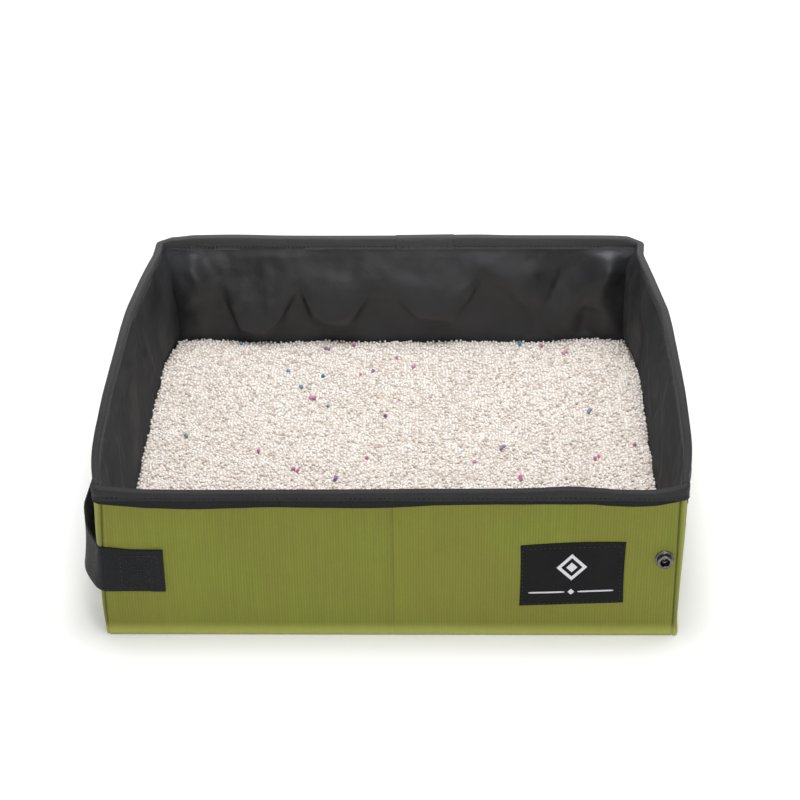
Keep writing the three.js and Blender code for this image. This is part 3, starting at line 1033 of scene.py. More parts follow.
front_crease_shares = [
    ([(-0.9, 0.9), (-0.8, 0.55), (-0.86, 0.25)], 0.45, 0.014, 0.026),
    ([(0.9, 0.9), (0.82, 0.5), (0.87, 0.25)], 0.45, 0.026, 0.014),
]
left_end_crease_shares = [
    ([(0.12, 0.90), (0.03, 0.62), (-0.21, 0.20)], 0.35, 0.010, 0.016),
    ([(0.37, 0.72), (0.49, 0.32)], 0.3, 0.012, 0.014),
    ([(0.30, 0.9), (0.0, 0.86), (-0.45, 0.84)], 0.22, 0.010, 0.020),
    ([(-0.45, 0.85), (-0.62, 0.2)], 0.25, 0.016, 0.020),
    ([(0.78, 0.9), (0.80, 0.5), (0.84, 0.2)], 0.45, 0.030, 0.016),
    ([(-0.82, 0.9), (-0.84, 0.2)], 0.5, 0.018, 0.030),
]
right_end_crease_shares = [
    ([(-0.72, 0.86), (-0.30, 0.60), (-0.05, 0.52)], 0.35, 0.014, 0.020),
    ([(-0.05, 0.52), (0.20, 0.25)], 0.3, 0.016, 0.014),
    ([(0.1, 0.92), (0.35, 0.6), (0.42, 0.25)], 0.28, 0.018, 0.022),
    ([(-0.80, 0.9), (-0.82, 0.5), (-0.84, 0.2)], 0.5, 0.016, 0.030),
    ([(0.82, 0.9), (0.84, 0.2)], 0.5, 0.030, 0.018),
]


def lining_stand_off(place, half_length, swags, creases, seed):
    """How far the lining stands off its wall: it hangs in swags from the rim and is creased in between."""
    slack = sizes().lining_slack
    share = place.x / half_length
    top = rim_top - sizes().tape_drop
    stand = 0.0
    if swags:
        hem_share = through(swags, share)
        hem = hem_share * rim_top
        depth = slack * (0.22 + 0.75 * clamp((0.82 - hem_share) / 0.42))
        if place.y > hem:
            stand = depth * smooth((top - place.y) / (top - hem)) ** 0.75
        else:
            stand = depth * (0.25 + 0.75 * bell(hem - place.y, 0.012))
    for line_shares, height_share, left, right in creases:
        line = [Vector((x * half_length, z * rim_top)) for x, z in line_shares]
        stand += crease(place, line, height_share * slack, left, right)
    stand += slack * 0.10 * (1 + wander(place.x, place.y, 0.034, seed))
    stand += slack * 0.05 * (1 + wander(place.x, place.y, 0.012, seed + 1))
    held = smooth((panel_top - place.y) / 0.016)
    foot = 0.35 + 0.65 * smooth((place.y - wall_hinge.z) / 0.03)
    return max(stand, 0.0) * held * foot


def wall_lining_stand_off(across, z, facing):
    """How far a front or back lining stands off, with across to the right as seen from inside."""
    place = Vector((across, z))
    if facing > 0:
        return lining_stand_off(place, inner_half_width, front_swag_shares, front_crease_shares, 31)
    return lining_stand_off(place, inner_half_width, back_swag_shares, back_crease_shares, 21)


def end_lining_stand_off(across, z, side):
    """The end linings bulge into the corners, where there is more lining than wall."""
    place = Vector((across, z))
    creases = right_end_crease_shares if side > 0 else left_end_crease_shares
    stand = lining_stand_off(place, inner_half_depth, (), creases, 41 + side)
    near = inner_half_depth - abs(across)
    column = 0.0075 * bell(near - 0.004, 0.016)
    return stand + column * smooth((panel_top - z) / 0.03) * (0.8 + 0.2 * wander(across, z, 0.05, 45))


def wall_lining_point(across, z, facing):
    """A point on the front or back lining, with across to the right as seen from inside."""
    stand = wall_lining_stand_off(across, z, facing)
    return waved(Vector((-across * facing, facing * (stand - inner_half_depth), z)), z)


def end_lining_point(across, z, side):
    """A point on an end lining, with across to the right as seen from inside."""
    y = -across * side
    stand = end_lining_stand_off(across, z, side)
    return waved(Vector((side * (inner_half_width + end_bow(y, z, side) - stand), y, z)), z)


class LITTERBOX_OT_linings(bpy.types.Operator):
    """Hangs the loose black lining on all four walls"""

    bl_idname = "litterbox.linings"
    bl_label = "Linings"

    def execute(self, context):
        half_wall = inner_half_width - 0.0004
        half_end = end_half_span - 0.0002
        wall_foot, end_foot = wall_hinge.z, end_hinge.z
        thickness = sizes().lining_thickness
        for name, facing in walls:
            def place(across, up):
                z = wall_foot + (panel_top - wall_foot) * up
                return wall_lining_point((across * 2 - 1) * half_wall, z, facing)

            bm = cloth_grid(216, 64, place, (2 * half_wall, panel_top - wall_foot))
            lining = finished(f"{name}_lining", bm, "Coated lining", thickness)
            mounted(lining, f"{name}_wall", f"{name}_liner")
            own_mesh(lining)

        for name, side in ends:
            def place(across, up):
                z = end_foot + (panel_top - end_foot) * up
                return end_lining_point((across * 2 - 1) * half_end, z, side)

            bm = cloth_grid(200, 64, place, (2 * half_end, panel_top - end_foot))
            lining = finished(f"{name}_lining", bm, "Coated lining", thickness)
            mounted(lining, name, f"{name}_liner")
            end_flatten(lining)
        return {"FINISHED"}


# Rim tape

tape_half = (half_depth + tape_stand_off - (inner_half_depth - tape_stand_off)) / 2
tape_middle = tape_stand_off - tape_half
turned_thickness = 0.0005


def stitch_row():
    """The height of the row of stitches, a little above the tape's edge."""
    return rim_top - sizes().tape_drop + 0.0022


def tape_seat():
    """How high the turned edge of the lining reaches under the tape, and how far out the tape begins."""
    return rim_top - sizes().tape_drop + 0.003, tape_stand_off - sizes().tape_thickness


def outer_side(out):
    """Plus on the outer leg of the tape, and minus on its inner one."""
    return 1 if out > tape_middle else -1


def tape_section(share, drop_out, drop_in):
    """Out, height and share up its leg of a point on the tape, from its outer edge to its inner one."""
    crown = 0.0026
    square = 0.72
    leg_out = drop_out - crown
    leg_in = drop_in - crown
    over = math.pi * math.sqrt((tape_half**2 + crown**2) / 2)
    run = share * (leg_out + over + leg_in)
    if run < leg_out:
        return tape_stand_off, rim_top - drop_out + run, run / leg_out
    if run < leg_out + over:
        angle = math.pi * (run - leg_out) / over
        cosine, sine = math.cos(angle), math.sin(angle)
        out = tape_middle + tape_half * math.copysign(abs(cosine) ** square, cosine)
        return out, rim_top - crown + crown * sine**square, 1.0
    down = run - leg_out - over
    return tape_middle - tape_half, rim_top - crown - down, 1 - down / leg_in


def tape_shape(along, share, seed):
    """One point of the tape's section, with the pucker of its stitches and a slightly uneven edge."""
    drop = sizes().tape_drop
    uneven = 0.0005 * wander(along, 0.0, 0.05, seed)
    out, z, from_edge = tape_section(share, drop + uneven, drop - uneven)
    pucker = 0.00022 * math.cos(2 * math.pi * along / sizes().stitch_pitch)
    dent = bell(z - stitch_row(), 0.0012) * (0.00035 + pucker)
    fullness = 0.0004 * bell(z - (rim_top - 0.0042), 0.002) * wander(along, z, 0.02, seed + 2)
    wave = 0.0004 * wander(along, 0.0, 0.085, seed + 4)
    edge = 0.00025 * (1 - smooth(from_edge / 0.15)) * (1 + wander(along, z, 0.012, seed + 6))
    return out + outer_side(out) * (fullness - dent + edge), z + wave * smooth((z - rim_top + 0.02) / 0.02)


# How much higher the turned edge of the lining ends, by share of the wall's length from left to right

turned_edge_rise = [
    (-1.0, 0.0052), (-0.93, 0.0036), (-0.80, 0.0008), (-0.66, -0.0002), (-0.50, 0.0008), (-0.38, 0.0016),
    (-0.25, 0.0012), (-0.12, 0.0008), (0.05, 0.0018), (0.17, 0.0036), (0.35, 0.0042), (0.66, 0.0044),
    (0.74, 0.0030), (0.80, 0.0024), (0.87, 0.0030), (0.93, 0.0056), (1.0, 0.0092),
]


class LITTERBOX_OT_rim(bpy.types.Operator):
    """Binds the rim with tape over the turned edge of the lining, sewn through with a row of stitches"""

    bl_idname = "litterbox.rim"
    bl_label = "Rim tape"

    def execute(self, context):
        for name, facing in walls:
            self.bind_wall(name, facing, 51 if facing > 0 else 52)
        for name, side in ends:
            self.bind_end(name, side)
        for name, facing in walls:
            self.stitch_wall(name, facing)
        for name, side in ends:
            self.stitch_end(name, side)
        self.lap()
        return {"FINISHED"}

    def tape(self, name, columns, place, length):
        bm = cloth_grid(columns, 26, place, (length, 2 * sizes().tape_drop))
        return finished(f"{name}_rim_tape", bm, "Rim tape", sizes().tape_thickness, edge=0.0002)

    def turned_edge(self, name, columns, place, length):
        """The band of lining that shows under the tape, in a darker copy of the lining: painted shade under
        the tape.
        """
        bm = cloth_grid(columns, 10, place, (length, 0.012))
        return finished(f"{name}_turned_edge", bm, "Turned lining", turned_thickness)

    def bind_wall(self, name, facing, seed):
        under_tape, inside_tape = tape_seat()
        run = cloth_run(rim_top, 1)
        reach = run + 0.0012

        def tape_point(across, up):
            along = (across * 2 - 1) * reach
            out, z = tape_shape(along, up, seed)
            slip = smooth((abs(along) - run + 0.0006) / 0.001) * 0.0003
            out -= slip * outer_side(out)
            return waved(wall_point(along, out, rim_top, facing)[0], z - slip)

        def edge_point(across, up):
            along = (across * 2 - 1) * reach
            foot = turned_edge_foot + through(turned_edge_rise, along / run)
            foot += 0.0003 * wander(along, 0, 0.03, seed)
            z = foot + (under_tape - foot) * up
            roll = 0.0004 * bell(z - foot, 0.0010)
            slack = 0.0003 * (1 + wander(along, z, 0.018, seed + 9))
            point = wall_point(along, inside_tape + 0.0002 + roll + slack, rim_top, facing)[0]
            return Vector((point.x, point.y, z))

        tape = self.tape(name, 360, tape_point, 2 * reach)
        mounted(tape, f"{name}_wall", f"{name}_binding")
        band = self.turned_edge(name, 240, edge_point, 2 * reach)
        mounted(band, f"{name}_wall")

    def bind_end(self, name, side):
        under_tape, inside_tape = tape_seat()
        reach = end_half_span + 0.0004

        def tape_point(across, up):
            y = (across * 2 - 1) * reach * side
            out, z = tape_shape(y, up, 55 + side)
            return waved(end_point(y, z, out, side), z)

        def edge_point(across, up):
            y = (across * 2 - 1) * reach * side
            foot = turned_edge_foot + 0.0006 * (1 + wander(y, 0, 0.07, 58 + side))
            z = foot + (under_tape - foot) * up
            roll = 0.0003 * bell(z - foot, 0.0012)
            return end_point(y, z, inside_tape + 0.0004 + roll, side)

        tape = self.tape(name, 300, tape_point, 2 * reach)
        mounted(tape, name, f"{name}_binding")
        end_flatten(tape)
        band = self.turned_edge(name, 200, edge_point, 2 * reach)
        mounted(band, name)
        end_flatten(band)

    def stitches(self, name, body, outside, inside, half_outside, half_inside):
        """Stitches through both legs of the tape."""
        bm = bmesh.new()
        stitch_line(bm, outside, -half_outside, half_outside, lift=-0.0002)
        stitch_line(bm, inside, -half_inside, half_inside, lift=-0.0002)
        threads = finished(f"{name}_rim_stitches", bm, "Black thread")
        return mounted(threads, body)

    def stitch_wall(self, name, facing):
        row = stitch_row()
        inner = half_depth - inner_half_depth + tape_stand_off

        def outside(along):
            point, outward = wall_point(along, tape_stand_off, rim_top, facing)
            return waved(point, row), outward

        def inside(along):
            point = turned(Vector((along, -half_depth + inner, row)), facing)
            return waved(point, row), turned(Vector((0, 1, 0)), facing)

        self.stitches(name, f"{name}_wall", outside, inside, cloth_run(rim_top, 1), half_width - 0.009)

    def stitch_end(self, name, side):
        row = stitch_row()
        inner = half_width - inner_half_width + tape_stand_off

        def outside(y):
            return waved(end_point(y, row, tape_stand_off, side), row), Vector((side, 0, 0))

        def inside(y):
            return waved(end_point(y, row, -inner, side), row), Vector((-side, 0, 0))

        threads = self.stitches(name, name, outside, inside, end_half_span, end_half_span - 0.009)
        end_flatten(threads)

    def lap(self):
        """The tape's two ends are lapped on the back rim and sewn across."""
        length, middle = 0.053, 0.023
        proud = 0.0005

        def lap_point(across, up):
            x = middle + (across - 0.5) * length
            out, z = tape_shape(-x, up, 52)
            lift = proud * smooth((0.5 - abs(across - 0.5)) / 0.02)
            crown = smooth((z - rim_top + 0.003) / 0.002)
            out += outer_side(out) * lift * (1 - crown)
            return waved(wall_point(-x, out, rim_top, -1)[0], z + lift * crown)

        bm = cloth_grid(60, 26, lap_point, (length, 2 * sizes().tape_drop))
        bmesh.ops.reverse_faces(bm, faces=bm.faces[:])
        mounted(finished("back_rim_lap", bm, "Rim tape", 0.0006, edge=0.0002), "back_wall")
        bm = bmesh.new()
        inner, up = Vector((0, -1, 0)), Vector((0, 0, 1))
        face = inner_half_depth - tape_stand_off - proud
        for x in (middle - length / 2 + 0.006, middle + length / 2 - 0.006):
            for step in range(3):
                at = waved(Vector((x, face, 0)), stitch_row() + step * 0.0024)
                stitch(bm, at, up, inner, 0.0021, 0.0008)
        mounted(finished("back_lap_stitches", bm, "Black thread"), "back_wall")


# Middle of the handle's thickness seen from above, from the front corner to the middle of the left side

strap_line = [
    (-0.190, -0.2062), (-0.206, -0.2064), (-0.2130, -0.2066), (-0.2168, -0.2063), (-0.2190, -0.2051),
    (-0.2212, -0.2028), (-0.2236, -0.1990), (-0.2272, -0.1926), (-0.2316, -0.1836), (-0.2340, -0.1770),
    (-0.2362, -0.1665), (-0.2366, -0.1600), (-0.2361, -0.1520), (-0.2355, -0.1440), (-0.2350, -0.1350),
    (-0.2346, -0.1240), (-0.2344, -0.0980), (-0.2344, -0.0600), (-0.2344, 0.0),
]

# How much further out its lower edge hangs than its upper edge, by place to the back

strap_tilt = [
    (-0.2066, 0.0), (-0.2040, 0.0015), (-0.1990, 0.0035), (-0.1836, 0.0038), (-0.1665, 0.0030),
    (-0.1600, 0.0010), (-0.1520, -0.0030), (-0.1440, -0.0055), (-0.1300, -0.0060), (-0.0980, -0.0045),
    (-0.0500, -0.0020), (0.0, 0.0),
]


class LITTERBOX_OT_handle(bpy.types.Operator):
    """Makes the webbing handle: sewn flat on the front and back, slack round the left end"""

    bl_idname = "litterbox.handle"
    bl_label = "Handle"

    def execute(self, context):
        thickness = sizes().webbing_thickness
        face = -strap_low.y - thickness / 2 - 0.0001
        start = strap_high.x
        line = [Vector((start, -face))] + [Vector(point) for point in strap_line]
        runs = [0.0]
        for before, after in zip(line, line[1:]):
            runs.append(runs[-1] + (after - before).length)
        total = runs[-1]
        across_run = [(run, point.x) for run, point in zip(runs, line)]
        back_run = [(run, point.y) for run, point in zip(runs, line)]
        loose_from = runs[4]
        width = strap_high.z - strap_low.z
        middle = (strap_high.z + strap_low.z) / 2

        def on_line(run):
            return Vector((through(across_run, run), through(back_run, run), 0))

        def strap_point(run, up, facing):
            step = 0.0008
            along = (on_line(run + step) - on_line(run - step)).normalized()
            outward = Vector((-along.y, along.x, 0))
            point = on_line(run)
            free = smooth((run - loose_from) / 0.02)
            cup = 0.0008 * free * (1 - (2 * up - 1) ** 2)
            slack = 0.0006 * wander(run, up * width, 0.05, 61) * free
            hem = 0.0004 * smooth((0.012 - run) / 0.002)
            tilt = (0.5 - up) * through(strap_tilt, point.y)
            point = point + outward * (slack - cup + hem + tilt)
            lift = 0.0028 * up * smooth((run - runs[1]) / 0.03)
            point.z = middle + (up - 0.5) * width * (1 - 0.02 * free) + lift
            return Vector((point.x, point.y * facing, point.z))

        for name, facing in walls:
            def place(across, up):
                return strap_point((across if facing < 0 else 1 - across) * total, up, facing)

            bm = cloth_grid(170, 14, place, (total, width))
            strap = finished(f"handle_{name}_half", bm, "Webbing", thickness, offset=0.0, edge=0.0004)
            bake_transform(strap)
            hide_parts("handle_strap")
            bm = self.patch(facing, start, middle, width, face + thickness / 2)
            threads = finished(f"handle_{name}_stitches", bm, "Black thread")
            mounted(threads, f"{name}_wall")
        return {"FINISHED"}

    def patch(self, facing, start, middle, width, face):
        """The stitches of a patch: a square with a cross in it."""
        bm = bmesh.new()
        half = width / 2 - 0.005
        right = start - 0.0045
        left = right - 2 * half
        low, high = middle - half, middle + half
        outward = Vector((0, -facing, 0))
        corners = [(left, low), (right, low), (right, high), (left, high), (left, low), (right, high)]
        for (x0, z0), (x1, z1) in [*zip(corners, corners[1:]), ((right, low), (left, high))]:
            run = Vector((x1 - x0, 0, z1 - z0))

            def seam(distance):
                return Vector((x0, -facing * face, z0)) + run.normalized() * distance, outward

            stitch_line(bm, seam, 0.0, run.length, lift=0.0002)
        return bm


class LITTERBOX_OT_snap(bpy.types.Operator):
    """Spins the ring snap and the cap that holds it inside the wall"""

    bl_idname = "litterbox.snap"
    bl_label = "Snap"

    def execute(self, context):
        middle = (ring_low + ring_high) / 2
        height = ring_high.y - ring_low.y
        flange = (ring_high.x - ring_low.x) / 2
        ring, mouth, bore = flange * 0.82, flange * 0.47, flange * 0.27
        centre, half, lip = (ring + mouth) / 2, (ring - mouth) / 2, height * 0.16
        profile = [
            (bore, 0.0), (flange, 0.0), (flange, height * 0.06), (flange * 0.985, height * 0.12),
            (flange * 0.94, height * 0.17), (ring * 1.03, height * 0.19), (ring * 0.93, height * 0.26),
            (ring * 0.90, height * 0.45), (ring * 0.94, height * 0.66),
        ]
        for step in range(9):
            angle = -0.15 * math.pi + 1.25 * math.pi * step / 8
            profile.append((centre + half * math.cos(angle), height - lip + lip * math.sin(angle)))
        profile += [(mouth * 1.02, height * 0.6), (mouth, height * 0.2), (bore, height * 0.18)]
        shell = self.spun("snap_ring", profile, Vector((middle.x, ring_high.y, middle.z)))
        rounder = shell.modifiers.new("Round", "SUBSURF")
        rounder.levels = 1
        rounder.render_levels = 1

        radius = (cap_high.x - cap_low.x) / 2
        length = cap_high.y - cap_low.y
        thin = 0.001
        post = bore * 0.8
        profile = [
            (0.0, 0.0), (radius * 0.7, thin * 0.1), (radius * 0.93, thin * 0.35), (radius, thin * 0.7),
            (radius * 0.98, thin), (post, thin), (post, length - thin * 0.4), (post * 0.6, length),
            (0.0, length),
        ]
        self.spun("snap_cap", profile, Vector((middle.x, cap_high.y, middle.z)))
        return {"FINISHED"}

    def spun(self, node, profile, place):
        """A spun piece that points to the front."""
        forward = Matrix.Translation(place) @ Matrix.Rotation(math.pi / 2, 4, "X")
        shell = finished(f"{node}_shell", revolve(profile, forward), "Plated metal")
        return mounted(shell, "front_wall", node)


# The label is sewn on a little askew, so that its right side stands higher than its left by twice the slant

label_middle = (label_low + label_high) / 2
label_half_x = (label_high.x - label_low.x) / 2
label_half_z = (label_high.z - label_low.z) / 2
label_slant = 0.0016


def label_face(x, z):
    """The label's outer face, which bows a little between its sewn edges."""
    across = clamp((x - label_middle.x) / label_half_x, -1, 1)
    up = clamp((z - label_middle.z) / label_half_z, -1, 1)
    bow = 0.0006 * (1 - across**2) * (1 - up**2)
    ripple = 0.00012 * wander(x, z, 0.016, 71)
    return label_low.y - bow - ripple


class LITTERBOX_OT_label(bpy.types.Operator):
    """Sews a black woven label on the front, with a plain lozenge over a thin rule in pale thread"""

    bl_idname = "litterbox.label"
    bl_label = "Label"

    def execute(self, context):
        half_x, half_z = label_half_x + 0.0003, label_half_z + 0.0004

        def label_point(across, up):
            side, rise = across * 2 - 1, up * 2 - 1
            draw_x = 0.0005 * (1 - rise**2) * side
            draw_z = 0.0006 * (1 - side**2) * (rise + 1)
            x = label_middle.x + side * half_x - draw_x + 0.0005
            z = label_middle.z + rise * half_z + draw_z + label_slant * side + 0.0008
            return Vector((x, label_face(x, z), z))

        bm = cloth_grid(72, 52, label_point, (2 * half_x, 2 * half_z))
        label = finished("label_cloth", bm, "Label cloth", 0.0007, edge=0.00018)
        mounted(label, "front_wall", "label")
        self.motif()
        self.stitches(half_x - 0.0025, half_z - 0.0025)
        return {"FINISHED"}

    def lozenge(self, bm, steps, half_x, half_z, at_z, open_share=0.0):
        """A flat square stood on its corner, with its middle left open by a share of its size."""
        points = set(bmesh.ops.create_grid(bm, x_segments=steps, y_segments=steps, size=0.5)["verts"])
        inside = [
            face for face in bm.faces if face.verts[0] in points
            and max(abs(part) for part in face.calc_center_median()) < open_share / 2
        ]
        bmesh.ops.delete(bm, geom=inside, context="FACES")
        for vertex in (point for point in points if point.is_valid):
            left, right = vertex.co.x, vertex.co.y
            vertex.co = Vector(((left - right) * half_x, 0, (left + right) * half_z + at_z))

    def motif(self):
        """A lozenge in a lozenge ring, over a thin rule with a small lozenge in its middle."""
        bm = bmesh.new()
        raise_by = 0.00025
        motif_up, rule_up = 0.0078, -0.0150
        self.lozenge(bm, 20, 0.0115, 0.0120, motif_up, open_share=0.7)
        self.lozenge(bm, 8, 0.0042, 0.0044, motif_up)
        self.lozenge(bm, 4, 0.0026, 0.0026, rule_up)
        for side in (-1, 1):
            rule = bmesh.ops.create_grid(bm, x_segments=24, y_segments=2, size=0.5)
            for vertex in rule["verts"]:
                taper = 0.0013 if abs(vertex.co.x) < 0.45 else 0.0009
                vertex.co = Vector((side * (0.0185 + vertex.co.x * 0.027), 0, vertex.co.y * taper + rule_up))
        bmesh.ops.triangulate(bm, faces=bm.faces[:])
        for vertex in bm.verts:
            x = vertex.co.x + label_middle.x
            z = vertex.co.z + label_middle.z + label_slant * vertex.co.x / (label_high.x - label_middle.x)
            vertex.co = Vector((x, label_face(x, z) - raise_by, z))
        bmesh.ops.recalc_face_normals(bm, faces=bm.faces[:])
        if sum(face.normal.y for face in bm.faces) > 0:
            bmesh.ops.reverse_faces(bm, faces=bm.faces[:])
        motif = finished("label_motif", bm, "Motif thread", raise_by + 0.0002)
        mounted(motif, "front_wall")

    def stitches(self, half_x, half_z):
        """A row of black stitches just inside the label's edge."""
        bm = bmesh.new()
        low, high = -half_z, half_z
        tip = label_slant
        corners = [(-half_x, low - tip), (half_x, low + tip), (half_x, high + tip), (-half_x, high - tip)]
        for (x0, z0), (x1, z1) in zip(corners, corners[1:] + corners[:1]):
            run = Vector((x1 - x0, 0, z1 - z0))

            def seam(distance):
                corner = Vector((label_middle.x + x0, 0, label_middle.z + z0))
                point = corner + run.normalized() * distance
                point.y = label_face(point.x, point.z)
                return point, Vector((0, -1, 0))

            stitch_line(bm, seam, 0.0, run.length, lift=0.0001, thread=0.00055)
        mounted(finished("label_stitches", bm, "Black thread"), "front_wall")


# Litter: coloured grains lie where the photograph shows them, given in metres on the litter's top

teal_grains = [
    (-0.148, 0.190), (-0.101, 0.141), (-0.069, 0.132), (-0.088, 0.113), (-0.062, 0.079), (0.110, 0.192),
    (0.168, 0.073), (-0.182, 0.031),
]
pink_grains = [
    (-0.043, 0.188), (-0.003, 0.164), (0.012, 0.148), (-0.035, 0.135), (-0.078, 0.092), (0.152, 0.173),
    (0.130, 0.187), (-0.086, -0.022), (-0.025, -0.004), (0.066, -0.007), (0.104, -0.036), (0.171, -0.001),
    (0.203, 0.020), (-0.118, 0.009), (0.195, -0.060), (-0.150, -0.11), (0.03, -0.12),
]
violet_grains = [
    (-0.066, 0.179), (-0.024, 0.141), (-0.011, 0.067), (-0.050, -0.034), (0.091, 0.013), (0.12, -0.15),
    (-0.09, -0.16),
]


# Low mounds and hollows of the litter: place to the right and to the back, height, half length and half
# breadth. Places and half sizes are shares of half the box's width and depth, and heights of litter_swell.

litter_mound_shares = [
    (-0.84, 0.93, 0.95, 0.11, 0.12), (-0.60, 0.94, 0.40, 0.06, 0.07), (-0.33, 0.95, 0.45, 0.08, 0.08),
    (-0.01, 0.94, 0.35, 0.08, 0.08), (0.23, 0.95, 0.40, 0.08, 0.07), (0.83, 0.93, 0.80, 0.12, 0.12),
    (-0.26, 0.47, 0.60, 0.13, 0.07), (-0.05, 0.54, 0.70, 0.13, 0.07), (0.15, 0.48, 0.60, 0.11, 0.07),
    (0.00, 0.35, -0.55, 0.19, 0.06), (0.36, 0.36, 0.60, 0.15, 0.065), (0.33, 0.21, -0.40, 0.12, 0.05),
    (0.46, 0.13, 0.55, 0.15, 0.055), (0.05, 0.17, 0.65, 0.14, 0.07), (-0.14, 0.07, 0.55, 0.09, 0.065),
    (-0.32, -0.05, 0.50, 0.13, 0.07), (0.10, -0.06, -0.50, 0.19, 0.06), (0.35, -0.03, -0.40, 0.12, 0.06),
    (-0.62, 0.33, 0.55, 0.07, 0.15), (-0.75, 0.27, -0.40, 0.06, 0.16), (-0.54, 0.01, -0.45, 0.10, 0.06),
    (-0.68, -0.14, -0.45, 0.12, 0.07), (0.93, 0.46, 0.50, 0.08, 0.13), (0.92, 0.10, -0.40, 0.08, 0.09),
    (0.72, -0.20, 0.50, 0.14, 0.10), (-0.80, -0.45, 0.50, 0.14, 0.12), (-0.42, -0.38, 0.50, 0.16, 0.08),
    (0.05, -0.32, 0.55, 0.20, 0.07), (0.42, -0.45, 0.45, 0.16, 0.08), (-0.20, -0.58, -0.40, 0.18, 0.08),
    (0.14, -0.72, 0.50, 0.20, 0.09), (-0.55, -0.75, 0.45, 0.16, 0.10), (0.72, -0.70, 0.50, 0.14, 0.12),
    (0.45, -0.86, -0.35, 0.14, 0.08),
]
litter_swell = 0.0045


def litter_top(x, y):
    """The litter's level: mounds and hollows left by pouring and raking, and a fine ripple."""
    level = litter_high.z - 0.0042
    mounds = 0.0
    for across, back, rise, length, breadth in litter_mound_shares:
        along = (x / inner_half_width - across) / length
        beside = (y / inner_half_depth - back) / breadth
        if abs(along) < 3 and abs(beside) < 3:
            mounds += rise * math.exp(-(along**2) - beside**2)
    return level + litter_swell * mounds + 0.0007 * wander(x, y, 0.020, 82)


def litter_place(across, up):
    """A place on the litter that reaches the linings on all four sides."""
    level = litter_top(0, 0)
    margin = 0.0008
    y = (up * 2 - 1) * inner_half_depth
    right = inner_half_width - end_lining_stand_off(-y, level, 1) + end_bow(y, level, 1)
    left = inner_half_width - end_lining_stand_off(y, level, -1) + end_bow(y, level, -1)
    x = -left + margin + (left + right - 2 * margin) * across
    back = inner_half_depth - wall_lining_stand_off(x, level, -1) - margin
    front = inner_half_depth - wall_lining_stand_off(-x, level, 1) - margin
    y = -front + (front + back) * up
    return x, y


def scatter_tree(seed):
    """Geometry nodes that strew grains of random size, turn and tone over a surface."""
    tree = bpy.data.node_groups.new("Strewn grains", "GeometryNodeTree")
    for way in ("INPUT", "OUTPUT"):
        tree.interface.new_socket(name="Geometry", in_out=way, socket_type="NodeSocketGeometry")
    nodes = Nodes(tree)
    given = nodes.add("NodeGroupInput").outputs[0]
    radius, spacing = sizes().grain_radius, sizes().grain_spacing
    density = 4.0 / spacing**2

    def drawn(order, low, high):
        """A random vector for each grain, from low to high."""
        sockets = {0: low, 1: high, "Seed": seed + order}
        return nodes.add("FunctionNodeRandomValue", sockets, data_type="FLOAT_VECTOR").outputs[0]

    points = nodes.add(
        "GeometryNodeDistributePointsOnFaces",
        {"Mesh": given, "Distance Min": spacing, "Density Max": density, "Seed": seed},
        distribute_method="POISSON",
    ).outputs["Points"]
    lift = drawn(1, (0, 0, -0.7 * radius), (0, 0, 0.55 * radius))
    raised = nodes.add("GeometryNodeSetPosition", {"Geometry": points, "Offset": lift}).outputs[0]
    turn = drawn(2, (0, 0, 0), (2 * math.pi, 2 * math.pi, 2 * math.pi))
    size = drawn(3, (0.72, 0.72, 0.72), (1.32, 1.2, 1.1))
    grain = nodes.add("GeometryNodeMeshIcoSphere", {"Radius": radius, "Subdivisions": 1}).outputs["Mesh"]
    rounded = nodes.add("GeometryNodeSetShadeSmooth", {"Geometry": grain}).outputs[0]
    strewn = nodes.add(
        "GeometryNodeInstanceOnPoints",
        {"Points": raised, "Instance": rounded, "Rotation": turn, "Scale": size},
    ).outputs[0]
    tone = nodes.add("FunctionNodeRandomValue", {"Seed": seed + 4}, data_type="FLOAT").outputs[1]
    stored = nodes.add(
        "GeometryNodeStoreNamedAttribute",
        {"Geometry": strewn, "Name": "grain_tone"},
        data_type="FLOAT",
        domain="INSTANCE",
    )
    nodes.feed(stored.inputs["Value"], tone)
    real = nodes.add("GeometryNodeRealizeInstances", {"Geometry": stored.outputs[0]}).outputs[0]
    nodes.feed(nodes.add("NodeGroupOutput").inputs[0], real)
    return tree


